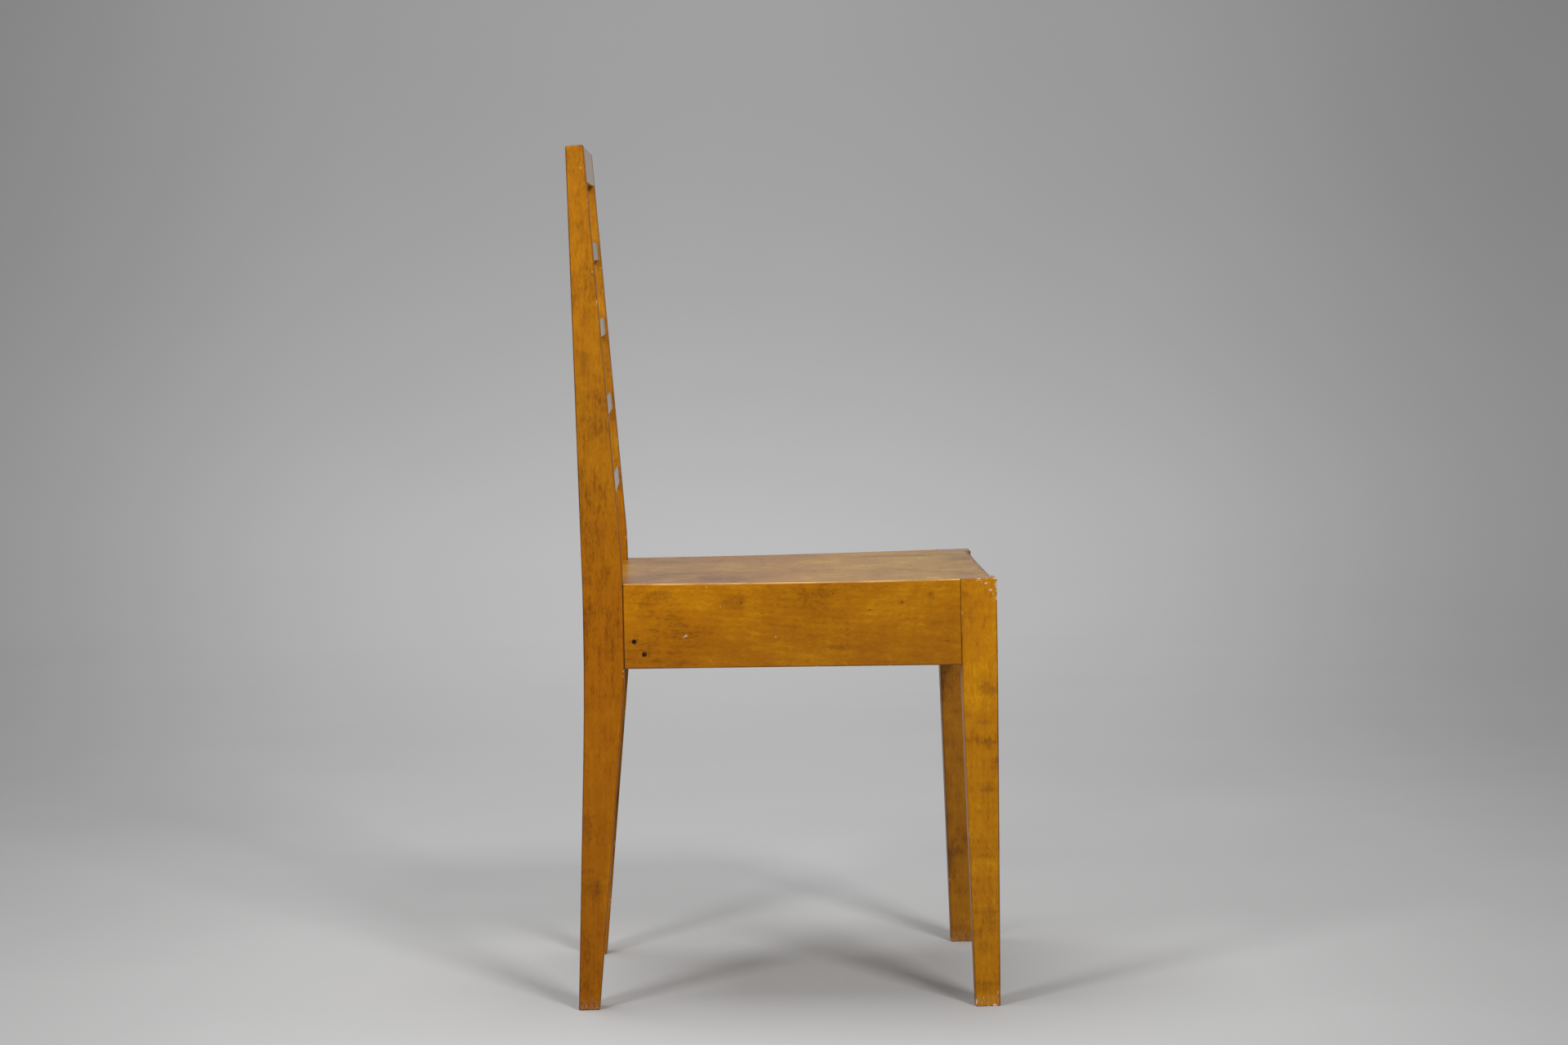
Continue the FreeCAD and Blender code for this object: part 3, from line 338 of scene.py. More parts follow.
def spots(tree, vector, places, ragged=0.5):
    """A mask of round or oval spots, each (centre, half size) in metres."""
    rough = calc(tree, "MULTIPLY_ADD", grains(tree, vector, (420, 420, 420), detail=3.0),
                 2 * ragged, -ragged)
    mask = 0.0
    for centre, half in places:
        away = blend(tree, "SUBTRACT", vector, centre)
        gap = size_of(tree, blend(tree, "MULTIPLY", away, [1 / part for part in half]))
        spot = ease(tree, calc(tree, "ADD", gap, rough), 1.15, 0.55)
        mask = calc(tree, "MAXIMUM", mask, spot)
    return mask


def on_face(x, marks):
    """Marks on a face square to X, each given as (y, z, half width, half height)."""
    return [((x, y, z), (MARK_REACH, wide, high)) for y, z, wide, high in marks]


def on_rail(marks):
    """Marks on the right side rail's splayed face, given in the same way."""
    splay = (POST_FACE - LEG_FACE) / (REAR_SHOULDER - FRONT_SHOULDER)
    return [((POST_FACE - splay * (REAR_SHOULDER - y), y, z), (MARK_REACH, wide, high))
            for y, z, wide, high in marks]


def new_material(name):
    """A material with its Principled shader and the object's own coordinates."""
    material = bpy.data.materials.new(name)
    material.use_nodes = True
    tree = material.node_tree
    tree.nodes.clear()
    shader = tree.nodes.new("ShaderNodeBsdfPrincipled")
    output = tree.nodes.new("ShaderNodeOutputMaterial")
    tree.links.new(shader.outputs[0], output.inputs["Surface"])
    place = tree.nodes.new("ShaderNodeTexCoord").outputs["Object"]
    return material, tree, shader, place


def wood(name, along, shift, pith=(0.0, 0.05, 0.06), rings=0.012, clouds=0.5, curl=0.10,
         pores=0.7, roughness=None, marks=(), dark_patches_and_shade=(), knots=(), joints=(), foot=False,
         inside=None, tint=None, lower=None, turn=(0.38, 0.60), drift=None, top_edge_highlight=False,
         lean=0.0, specular=0.25, relief=0.35, dirt_and_shade_weight=0.45, stretch=1.0):
    """Varnished birch for one piece, with the marks that years of use have left on it, and with
    painted light and shade.

    along is the grain's axis; shift, pith and stretch choose the piece's cut of the tree.
    """
    finish = bpy.context.scene.chair_finish
    material, tree, shader, place = new_material(name)
    grain = put(tree, "ShaderNodeMapping", {"Vector": place, "Rotation": TURNS[along],
                                            "Location": shift,
                                            "Scale": (1 / stretch, 1, 1)}).outputs[0]
    figure = use(tree, once("Birch figure", birch), {
        "Vector": grain, "Pith": pith, "Light": opaque(finish.light),
        "Middle": opaque(finish.middle), "Dark": opaque(finish.dark),
        "Pore": opaque(finish.pore), "Rings": rings, "Clouds": clouds, "Curl": curl,
        "Pores": pores, "Spacing": finish.ring_spacing})
    edges = use(tree, once("Handled edges", edge_wear_and_shade), {"Vector": place, "Lean": lean})
    parts = parts_of(tree, place)
    surface = toned(tree, figure["Color"], parts, tint, lower, turn, drift)
    end_facing = calc(tree, "ABSOLUTE", parts_of(tree, facing(tree))["XYZ".index(along)])
    sawn_end = ease(tree, end_facing, 0.86, 0.96)
    surface = mix(tree, times(tree, sawn_end, 0.5), surface, opaque(finish.dark))
    gloss = calc(tree, "MULTIPLY_ADD", calc(tree, "SUBTRACT", figure["Tone"], 0.5), -0.10,
                 roughness or (finish.leg_roughness if foot else finish.roughness))
    gloss = mix_value(tree, sawn_end, gloss, 0.2)
    if inside:
        surface, gloss = unfinished_inside(tree, place, grain, surface, gloss, inside)
    surface = darkened(tree, place, surface, dark_patches_and_shade, knots)
    # Dark edges: dirt, and painted shade on the edges that face one way along Y.
    surface = mix(tree, times(tree, edges["Grimy"], dirt_and_shade_weight), surface, opaque(finish.edge_dirt_and_shade))
    # Light edges: wear, and a painted sheen on the edges that face the other way.
    surface = mix(tree, times(tree, edges["Worn"], 0.50), surface, opaque(finish.rub_and_highlight))
    # A painted highlight along the top edges of the side rails, in the colour of rubbed stain.
    if top_edge_highlight:
        upper = ease(tree, parts[2], PANEL_UNDERSIDE, SEAT_TOP - 0.006)
        uneven = ease(tree, grains(tree, place, (20, 20, 20)), 0.40, 0.60, 0.25, 0.65)
        surface = mix(tree, times(tree, edges["Edge"], upper, uneven), surface,
                      opaque(finish.rub_and_highlight))
    surface = jointed(tree, parts, surface, joints)
    if foot:
        feed(tree, shader, {"Coat Weight": times(tree, sawn_end, 0.45), "Coat Roughness": 0.2})
        gloss = mix_value(tree, times(tree, edges["Edge"], 0.8), gloss, 0.62)
        surface, gloss = scraped(tree, place, parts, surface, gloss)
    if marks:
        scuff = spots(tree, place, marks)
        surface = mix(tree, times(tree, scuff, 0.65), surface, opaque(finish.bare))
        gloss = mix_value(tree, scuff, gloss, 0.8)
    feed(tree, shader, {"Base Color": surface, "Roughness": gloss,
                        "Normal": bumps(tree, figure["Height"], 0.00025, relief),
                        "Specular IOR Level": specular})
    return material


def toned(tree, surface, parts, tint, lower, turn, drift):
    """A colour painted lighter with height, standing for light from above, and multiplied by up to
    three more colours.

    tint goes all over, lower goes below the heights in turn, and drift is (start, end, first
    colour, second colour) along Y.
    """
    # Painted light: the wood grows lighter with height, as if lit from above.
    surface = brightened(tree, surface, ease(tree, parts[2], 0.0, 0.88, 0.77, 1.14))
    if tint:
        surface = mix(tree, 1.0, surface, opaque(tint), "MULTIPLY")
    if lower:
        below = ease(tree, parts[2], turn[1], turn[0])
        surface = mix(tree, below, surface, opaque(lower), "MULTIPLY")
    if drift:
        start, end, first, second = drift
        shade = mix(tree, ease(tree, parts[1], start, end), opaque(first), opaque(second))
        surface = mix(tree, 1.0, surface, shade, "MULTIPLY")
    return surface


def darkened(tree, place, surface, dark_patches_and_shade, knots):
    """A colour with broken dark smudges, some of them painted shade, and small solid knots."""
    pore = opaque(bpy.context.scene.chair_finish.pore)
    if dark_patches_and_shade:
        broken = ease(tree, grains(tree, place, (520, 520, 300), detail=3.0),
                      0.35, 0.62, 0.13, 0.36)
        stain = times(tree, spots(tree, place, dark_patches_and_shade, 0.9), broken)
        surface = mix(tree, stain, surface, pore)
    if knots:
        core = times(tree, spots(tree, place, knots, 0.3), 0.72)
        surface = mix(tree, core, surface, pore)
    return surface


def jointed(tree, parts, surface, joints):
    """A colour with a dark line at each joint of a rail, given as (y, half width, strength)."""
    if not joints:
        return surface
    joint = opaque(bpy.context.scene.chair_finish.joint)
    beside = times(tree, ease(tree, parts[2], SEAT_TOP + 0.001, SEAT_TOP - 0.002),
                   ease(tree, parts[2], RAIL_BOTTOM - 0.001, RAIL_BOTTOM + 0.001))
    for level, reach, strength in joints:
        gap = calc(tree, "ABSOLUTE", calc(tree, "SUBTRACT", parts[1], level))
        line = times(tree, ease(tree, gap, reach, reach * 0.45, 0.0, strength), beside)
        surface = mix(tree, line, surface, joint)
    return surface


def scraped(tree, place, parts, surface, gloss):
    """Colour and gloss of a leg whose foot is scraped bare in streaks."""
    bare = opaque(bpy.context.scene.chair_finish.bare)
    streak = grains(tree, place, (900, 900, 300), detail=4.0, rough=0.66)
    mask = times(tree, ease(tree, parts[2], FOOT_SCRAPES, 0.0), ease(tree, streak, 0.46, 0.66))
    return mix(tree, times(tree, mask, 0.40), surface, bare), mix_value(tree, mask, gloss, 0.75)


def unfinished_inside(tree, place, grain, surface, gloss, inward):
    """Bare birch, with drips of stain, on the faces that look into the seat frame."""
    finish = bpy.context.scene.chair_finish
    look = put(tree, "ShaderNodeVectorMath", {0: facing(tree), 1: inward},
               operation="DOT_PRODUCT")
    smear = grains(tree, place, (30, 30, 55), detail=3.0, rough=0.6)
    inner = times(tree, ease(tree, look.outputs["Value"], 0.6, 0.9),
                  ease(tree, smear, 0.27, 0.36))
    shade = ease(tree, grains(tree, grain, (8, 160, 160), detail=3.0), 0.35, 0.65, 0.72, 1.0)
    raw = brightened(tree, tuple(finish.raw), shade)
    return mix(tree, inner, surface, raw), mix_value(tree, inner, gloss, 0.68)


def broken_wood(name):
    """Pale, fibrous wood where a chip has come away."""
    finish = bpy.context.scene.chair_finish
    material, tree, shader, place = new_material(name)
    fibres = grains(tree, place, (1500, 1500, 160), detail=3.0, rough=0.6)
    surface = mix(tree, ease(tree, fibres, 0.30, 0.72), opaque(finish.rub_and_highlight),
                  opaque(finish.bare))
    feed(tree, shader, {"Base Color": surface, "Roughness": 0.85,
                        "Normal": bumps(tree, fibres, 0.0003, 0.6)})
    return material


def raw_wood(name, shift):
    """Unvarnished birch with saw marks."""
    finish = bpy.context.scene.chair_finish
    material, tree, shader, place = new_material(name)
    grain = put(tree, "ShaderNodeMapping", {"Vector": place, "Location": shift}).outputs[0]
    pale = Vector(finish.raw)
    figure = use(tree, once("Birch figure", birch), {
        "Vector": grain, "Light": opaque(pale * 1.25), "Middle": opaque(pale),
        "Dark": opaque(pale * 0.62), "Pore": opaque(pale * 0.4), "Rings": 0.10,
        "Clouds": 0.4, "Curl": 0.1, "Pores": 0.5, "Spacing": finish.ring_spacing})
    sawn = grains(tree, place, (25, 25, 1400), detail=2.0, rough=0.6)
    height = calc(tree, "MULTIPLY_ADD", sawn, 0.8, figure["Height"])
    feed(tree, shader, {"Base Color": figure["Color"],
                        "Roughness": ease(tree, figure["Tone"], 0.2, 0.8, 0.82, 0.66),
                        "Normal": bumps(tree, height, 0.0003, 0.5)})
    return material


def metal(name, base, rust, roughness, metallic, specular):
    """Old metal with rust in patches."""
    material, tree, shader, place = new_material(name)
    patchy = grains(tree, place, (500, 500, 500), detail=4.0, rough=0.65)
    rusty = ease(tree, patchy, 0.50, 0.64)
    feed(tree, shader, {"Base Color": mix(tree, rusty, opaque(base), opaque(rust)),
                        "Roughness": ease(tree, patchy, 0.4, 0.7, roughness, 0.85),
                        "Metallic": calc(tree, "MULTIPLY_ADD", rusty, -metallic, metallic),
                        "Normal": bumps(tree, patchy, 0.0001, 0.4),
                        "Specular IOR Level": specular})
    return material


def dress(node, material):
    """Give a carried-over node its material."""
    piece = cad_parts[node]
    piece.data.materials.clear()
    piece.data.materials.append(material)
    return piece


# Modelling helpers

def clear_selection():
    """Go to object mode and select nothing."""
    if bpy.context.object and bpy.context.object.mode != "OBJECT":
        bpy.ops.object.mode_set(mode="OBJECT")
    bpy.ops.object.select_all(action="DESELECT")


def only(piece):
    """Make one object the selected and active one."""
    clear_selection()
    piece.select_set(True)
    bpy.context.view_layer.objects.active = piece


def settle(piece):
    """Put the piece's place, turn and scale into its mesh."""
    only(piece)
    bpy.ops.object.transform_apply(location=True, rotation=True, scale=True)


class Shaping:
    """Edit mode on one object, with faces or edges picked by a rule."""

    def __init__(self, piece):
        self.piece = piece

    def __enter__(self):
        only(self.piece)
        bpy.ops.object.mode_set(mode="EDIT")
        bpy.ops.mesh.select_all(action="DESELECT")
        return self

    def __exit__(self, *problem):
        bpy.ops.object.mode_set(mode="OBJECT")

    def pick(self, kind, rule):
        """Select the faces, edges or verts that a rule accepts, and nothing else."""
        modes = {"faces": "FACE", "edges": "EDGE", "verts": "VERT"}
        bpy.ops.mesh.select_mode(type=modes[kind])
        bpy.ops.mesh.select_all(action="DESELECT")
        shape = bmesh.from_edit_mesh(self.piece.data)
        found = [part for part in getattr(shape, kind) if rule(part)]
        for part in found:
            part.select_set(True)
        shape.select_flush_mode()
        bmesh.update_edit_mesh(self.piece.data)
        return len(found)


def islands(node):
    """The separate solids of a CAD node, as arrays of their points."""
    shape = bmesh.new()
    shape.from_mesh(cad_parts[node].data)
    bmesh.ops.remove_doubles(shape, verts=shape.verts, dist=NEAR)
    left, found = set(shape.verts), []
    while left:
        group, edge = set(), [next(iter(left))]
        while edge:
            point = edge.pop()
            if point in group:
                continue
            group.add(point)
            edge += [line.other_vert(point) for line in point.link_edges]
        left -= group
        found.append(np.array([point.co for point in group]))
    shape.free()
    return sorted(found, key=lambda points: tuple(points.mean(axis=0).round(4)))


def heads(node):
    """Each fastening's head centre and the direction from its tip to its head."""
    head_depth = 1e-4
    places = []
    for points in islands(node):
        middle = points.mean(axis=0)
        along = np.linalg.svd(points - middle)[2][0]
        run = (points - middle) @ along
        spread = np.linalg.norm(points - middle - np.outer(run, along), axis=1)
        if run[spread.argmax()] < 0:
            along, run = -along, -run
        axis = Vector(along)
        far = run > run.max() - head_depth
        centre = Vector(points[far].mean(axis=0))
        centre += axis * (run.max() - (centre - Vector(middle)).dot(axis))
        places.append((centre, axis))
    return places


def turned(corners, radius, steps):
    """A round bar down -Z from a disc at the origin, in steps given as (depth, radius)."""
    clear_selection()
    bpy.ops.mesh.primitive_circle_add(vertices=corners, radius=radius, fill_type="NGON")
    bar = bpy.context.object
    with Shaping(bar) as shaping:
        shaping.pick("faces", lambda face: True)
        for depth, wanted in steps:
            bpy.ops.mesh.extrude_region_move(TRANSFORM_OT_translate={"value": (0, 0, -depth)})
            shape = bmesh.from_edit_mesh(bar.data)
            rim = max(math.hypot(*point.co.xy) for point in shape.verts if point.select)
            bpy.ops.transform.resize(value=(wanted / rim, wanted / rim, 1))
        bpy.ops.mesh.select_all(action="SELECT")
        bpy.ops.mesh.normals_make_consistent(inside=False)
    return bar


def copies(model, places, name, material):
    """Stand a copy of a fastening, head up at its origin, at each place, as one piece."""
    made = []
    for centre, axis in places:
        twin = model.copy()
        twin.data = model.data.copy()
        bpy.context.collection.objects.link(twin)
        upright = axis.to_track_quat("Z", "Y").to_matrix().to_4x4()
        twin.matrix_world = Matrix.Translation(centre) @ upright
        made.append(twin)
    clear_selection()
    for twin in made:
        twin.select_set(True)
    bpy.context.view_layer.objects.active = made[0]
    bpy.ops.object.join()
    piece = made[0]
    piece.name = name
    settle(piece)
    piece.data.materials.clear()
    piece.data.materials.append(material)
    bpy.data.objects.remove(model)
    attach(piece, BODY)
    return piece


# Operators

class ChairOperator:
    """What the chair's operators share."""
    bl_options = {"REGISTER", "UNDO"}


class CHAIR_OT_rear_legs(ChairOperator, bpy.types.Operator):
    """Finish the two rear legs, which run up as the posts of the back"""
    bl_idname = "chair.rear_legs"
    bl_label = "Rear legs"

    def execute(self, context):
        marks = on_face(POST_FACE, [(0.1954, 0.8574, 0.0006, 0.0012),
                                    (0.1861, 0.7525, 0.0012, 0.0005)])
        dark = on_face(POST_FACE, [(0.2020, 0.4120, 0.0075, 0.0030),
                                   (0.1990, 0.3980, 0.0040, 0.0130),
                                   (0.1880, 0.3700, 0.0016, 0.0060),
                                   (0.1800, 0.3400, 0.0014, 0.0040),
                                   (0.2040, 0.5500, 0.0060, 0.0100),
                                   (0.1970, 0.6600, 0.0040, 0.0160),
                                   (0.1862, 0.1379, 0.0016, 0.0022),
                                   (0.2030, 0.1840, 0.0055, 0.0190),
                                   (0.1990, 0.1250, 0.0130, 0.0110),
                                   (0.2040, 0.1430, 0.0100, 0.0035)])
        # Patches of painted shade on the posts just below each back rail.
        below, shade_patch = 0.008, (MARK_REACH, 0.013, 0.020)
        corners = {side: [((side * high.x, (low.y + high.y) / 2, (low.z + high.z) / 2 - below),
                           shade_patch) for low, high in map(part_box, BACK_RAILS)]
                   for side in (-1, 1)}
        aged = {"pores": 0.6, "foot": True, "lean": 1.0, "joints": [(REAR_SHOULDER, 0.0009, 0.6)],
                "tint": (0.99, 1.00, 2.4), "lower": (1.01, 0.86, 0.1), "specular": 0.12}
        dress("rear_leg_right", wood(
            "Post varnish right", "Z", (0.10, 0.0, 0.0), clouds=0.45, marks=marks,
            dark_patches_and_shade=dark + corners[-1], **aged))
        dress("rear_leg_left", wood(
            "Post varnish left", "Z", (1.30, 0.4, 0.1), clouds=0.7, dark_patches_and_shade=corners[1],
            **aged))
        return {"FINISHED"}


class CHAIR_OT_front_legs(ChairOperator, bpy.types.Operator):
    """Finish the two front legs"""
    bl_idname = "chair.front_legs"
    bl_label = "Front legs"

    # Each chip's centre and half size, along the top corner, the front edge and the foot.
    chips = (((-0.2147, -0.1974, 0.4366), (0.0013, 0.0022, 0.0012)),
             ((-0.2151, -0.1964, 0.4341), (0.0007, 0.0010, 0.0009)),
             ((-0.2149, -0.2060, 0.4367), (0.0010, 0.0012, 0.0010)),
             ((-0.2151, -0.2050, 0.4317), (0.0008, 0.0013, 0.0014)),
             ((-0.2151, -0.2096, 0.4245), (0.0008, 0.0016, 0.0012)),
             ((-0.2146, -0.2152, 0.4302), (0.0013, 0.0018, 0.0036)),
             ((-0.2148, -0.2154, 0.4235), (0.0010, 0.0012, 0.0014)),
             ((-0.2147, -0.2154, 0.4166), (0.0011, 0.0014, 0.0026)),
             ((-0.2142, -0.2142, 0.4366), (0.0016, 0.0024, 0.0013)),
             ((-0.2149, -0.2075, 0.0010), (0.0010, 0.0020, 0.0018)),
             ((-0.2149, -0.2010, 0.0006), (0.0008, 0.0012, 0.0012)),
             ((-0.2146, -0.1888, 0.0056), (0.0010, 0.0012, 0.0026)))

    def merged_copy(self, source, name):
        """A copy of a carried-over node with its loose triangles joined up."""
        clear_selection()
        twin = source.copy()
        twin.data = source.data.copy()
        twin.name = name
        bpy.context.collection.objects.link(twin)
        with Shaping(twin):
            bpy.ops.mesh.select_all(action="SELECT")
            bpy.ops.mesh.remove_doubles(threshold=NEAR)
        return twin

    def chip(self, leg, centre, size, number):
        """Break one ragged chip out of the leg."""
        clear_selection()
        bpy.ops.mesh.primitive_ico_sphere_add(subdivisions=3, radius=1)
        cutter = bpy.context.object
        cutter.data.materials.append(leg.data.materials[1])
        for point in cutter.data.vertices:
            ragged = 1 + 0.8 * noise.noise(1.7 * point.co + Vector((9.1 * number, 0, 0)))
            point.co = [middle + half * ragged * part
                        for middle, half, part in zip(centre, size, point.co)]
        bite = leg.modifiers.new("Chip", "BOOLEAN")
        bite.object = cutter
        bite.operation = "DIFFERENCE"
        bite.solver = "EXACT"
        bite.material_mode = "TRANSFER"
        only(leg)
        bpy.ops.object.modifier_apply(modifier=bite.name)
        bpy.data.objects.remove(cutter)

    def execute(self, context):
        marks = on_face(LEG_FACE, [(-0.2000, 0.4340, 0.0010, 0.0006),
                                   (-0.2120, 0.4205, 0.0006, 0.0014),
                                   (-0.2103, 0.0141, 0.0006, 0.0016),
                                   (-0.1960, 0.0090, 0.0006, 0.0014)])
        dark = on_face(LEG_FACE, [(-0.2050, 0.3240, 0.0110, 0.0085),
                                  (-0.2000, 0.2900, 0.0090, 0.0030),
                                  (-0.2060, 0.2700, 0.0080, 0.0030),
                                  (-0.2030, 0.2220, 0.0090, 0.0035),
                                  (-0.2010, 0.1540, 0.0110, 0.0030),
                                  (-0.2040, 0.0900, 0.0090, 0.0140)])
        # The first patch is a painted shadow under the side rail; the others darken the leg at a
        # blotch, the foot and the top corner.
        left_patches_and_shadow = [((0.20, -0.2000, 0.3400), (0.03, 0.040, 0.020)),
                     ((0.20, -0.2060, 0.1180), (0.03, 0.008, 0.010)),
                     ((0.20, -0.2000, 0.0100), (0.03, 0.030, 0.014)),
                     ((0.20, -0.2150, 0.4370), (0.03, 0.007, 0.006))]
        right = wood("Front leg varnish right", "Z", (2.10, 0.7, 0.3), curl=0.34, pores=0.5,
                     clouds=0.42, marks=marks, dark_patches_and_shade=dark, foot=True,
                     tint=(1.28, 1.31, 0.3), lean=-1.0, specular=0.16, relief=0.2, dirt_and_shade_weight=0.5)
        dress("front_leg_left", wood(
            "Front leg varnish left", "Z", (3.434, 0.2, 0.6), curl=0.2, pores=0.5, clouds=0.6,
            dark_patches_and_shade=left_patches_and_shadow, foot=True, tint=(1.14, 1.15, 1.0), lean=-1.0, relief=0.2,
            dirt_and_shade_weight=0.5))
        leg = self.merged_copy(dress("front_leg_right", right), "chipped_front_leg")
        leg.data.materials.append(broken_wood("Chipped wood"))
        for number, (centre, size) in enumerate(self.chips):
            self.chip(leg, centre, size, number)
        only(leg)
        bpy.ops.object.shade_smooth_by_angle(angle=math.radians(30))
        flats = leg.modifiers.new("Flat faces", "WEIGHTED_NORMAL")
        flats.weight = 100
        flats.keep_sharp = True
        bpy.ops.object.modifier_apply(modifier=flats.name)
        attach(leg, BODY)
        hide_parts("front_leg_right")
        return {"FINISHED"}


class CHAIR_OT_seat_rails(ChairOperator, bpy.types.Operator):
    """Finish the four rails round the seat"""
    bl_idname = "chair.seat_rails"
    bl_label = "Seat rails"

    def execute(self, context):
        marks = on_rail([(0.0989, 0.3821, 0.0017, 0.0014), (0.1010, 0.3808, 0.0012, 0.0008),
                         (0.0772, 0.4316, 0.0008, 0.0006), (0.0635, 0.4115, 0.0009, 0.0007),
                         (0.0079, 0.3800, 0.0009, 0.0008)])
        knots = on_rail([(-0.1205, 0.4131, 0.0017, 0.0012), (-0.1494, 0.4218, 0.0013, 0.0010),
                         (-0.1518, 0.4168, 0.0010, 0.0007), (-0.0874, 0.4061, 0.0011, 0.0010),
                         (-0.0507, 0.4232, 0.0013, 0.0011), (-0.0301, 0.4235, 0.0010, 0.0008)])
        dark = on_rail([(-0.1195, 0.4131, 0.0052, 0.0030), (-0.1494, 0.4200, 0.0036, 0.0040),
                        (-0.0404, 0.4232, 0.0110, 0.0032), (0.0500, 0.4160, 0.0120, 0.0080),
                        (0.1250, 0.4230, 0.0180, 0.0070), (-0.0600, 0.3690, 0.0200, 0.0030),
                        (0.1504, 0.3769, 0.0044, 0.0036), (0.1405, 0.3639, 0.0044, 0.0036)])
        joints = [(REAR_SHOULDER, 0.0016, 0.72), (FRONT_SHOULDER, 0.0011, 0.38)]
        # The side rails are painted darker towards their bottom edges, as shade, and get a painted
        # highlight along their top edges.
        shaded = {"turn": (RAIL_BOTTOM, SEAT_TOP), "lower": (0.82, 0.75, 0.6), "joints": joints,
                  "top_edge_highlight": True}
        # The right rail is also painted lighter towards the back, as light that falls on it.
        dress("side_rail_right", wood(
            "Side rail varnish right", "Y", (0.61, 0.07, 0.02), pith=(0.36, 0.12, 0.31),
            rings=0.02, pores=0.6, clouds=0.62, marks=marks, dark_patches_and_shade=dark, knots=knots,
            inside=(1, 0, 0), tint=(1.12, 1.11, 0.7),
            drift=(-0.02, 0.17, (0.97, 0.97, 1.0), (1.12, 1.12, 1.0)), **shaded))
        dress("side_rail_left", wood(
            "Side rail varnish left", "Y", (1.85, 0.5, 0.2), rings=0.04, inside=(-1, 0, 0),
            tint=(1.10, 1.10, 0.9), **shaded))
        dress("front_rail", wood(
            "Front rail varnish", "X", (2.7, 0.9, 0.5), rings=0.04, clouds=0.55,
            inside=(0, 1, 0), lean=-1.0, specular=0.5, relief=0.2, dirt_and_shade_weight=0.95))
        dress("rear_rail", wood(
            "Rear rail varnish", "X", (4.1, 1.2, 0.8), rings=0.04, clouds=0.55,
            inside=(0, -1, 0)))
        return {"FINISHED"}


class CHAIR_OT_seat_panel(ChairOperator, bpy.types.Operator):
    """Finish the hollowed seat panel"""
    bl_idname = "chair.seat_panel"
    bl_label = "Seat panel"

    def execute(self, context):
        finish = context.scene.chair_finish
        # The tint and the drift grey the seat, most at its front, painting the grey sheen of its
        # varnish.
        dress("seat_panel", wood(
            "Seat varnish", "Y", (5.2, 0.3, 0.9), pith=(5.15, 0.35, 0.52), rings=0.035,
            clouds=0.85, pores=0.5, roughness=finish.seat_roughness, inside=(0, 0, -1),
            tint=(1.06, 1.18, 1.0), drift=(-0.19, 0.0, (1.0, 1.2, 8.0), (1.0, 1.0, 1.0)),
            lean=-1.0, specular=0.5, relief=0.15, dirt_and_shade_weight=0.95, stretch=2.4))
        return {"FINISHED"}


class CHAIR_OT_back_rails(ChairOperator, bpy.types.Operator):
    """Finish the top rail and the slats"""
    bl_idname = "chair.back_rails"
    bl_label = "Top rail and slats"

    def execute(self, context):
        for number, name in enumerate(BACK_RAILS):
            shift = (6.0 + 0.73 * number, 0.31 * number, 0.17 * number)
            # The tint darkens and greys the rails, painting the grey sheen seen on their fronts.
            dress(name, wood(f"Back rail varnish {number}", "X", shift, rings=0.035,
                             roughness=0.15, tint=(0.76, 0.78, 1.0), specular=0.5, relief=0.12))
        return {"FINISHED"}


class CHAIR_OT_corner_blocks(ChairOperator, bpy.types.Operator):
    """Finish the four unvarnished blocks in the corners of the seat frame"""
    bl_idname = "chair.corner_blocks"
    bl_label = "Corner blocks"

    def execute(self, context):
        blocks = sorted(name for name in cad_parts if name.startswith("corner_block_"))
        for number, name in enumerate(blocks):
            shift = (9 + 0.6 * number, 0.4 * number, 0.2)
            dress(name, raw_wood(f"Raw birch {number}", shift))
        return {"FINISHED"}


class CHAIR_OT_screws(ChairOperator, bpy.types.Operator):
    """Model a slotted countersunk wood screw and drive one into every screw hole"""
    bl_idname = "chair.screws"
    bl_label = "Screws"

    def model(self):
        """One screw, its head's top at the origin and its tip down -Z."""
        low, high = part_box("seat_screws")
        head, shank, core = 0.0038, 0.0019, 0.0013
        rim, cone, plain, step, tip = 0.0003, 0.0022, 0.012, 0.0006, 0.005
        threaded = high.z - low.z - rim - cone - plain - step - tip
        return turned(24, head, ((rim, head), (cone, shank), (plain, shank), (step, core),
                                 (threaded, core), (tip, core * 0.2)))

    def execute(self, context):
        fastenings = context.scene.chair_fastenings
        steel = metal("Screw steel", fastenings.steel, fastenings.rust, 0.42, 0.9, 0.5)
        slot_length, slot_width, slot_depth = 0.012, 0.0009, 0.0012
        for node in ("block_screws", "seat_screws"):
            screw = self.model()
            clear_selection()
            bpy.ops.mesh.primitive_cube_add(size=1, location=(0, 0, 0))
            blade = context.object
            blade.scale = slot_length, slot_width, 2 * slot_depth
            slot = screw.modifiers.new("Slot", "BOOLEAN")
            slot.object = blade
            slot.solver = "EXACT"
            only(screw)
            bpy.ops.object.modifier_apply(modifier=slot.name)
            bpy.data.objects.remove(blade)
            piece = copies(screw, heads(node), f"slotted_{node}", steel)
            only(piece)
            bpy.ops.object.shade_smooth_by_angle(angle=math.radians(35))
            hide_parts(node)
        return {"FINISHED"}


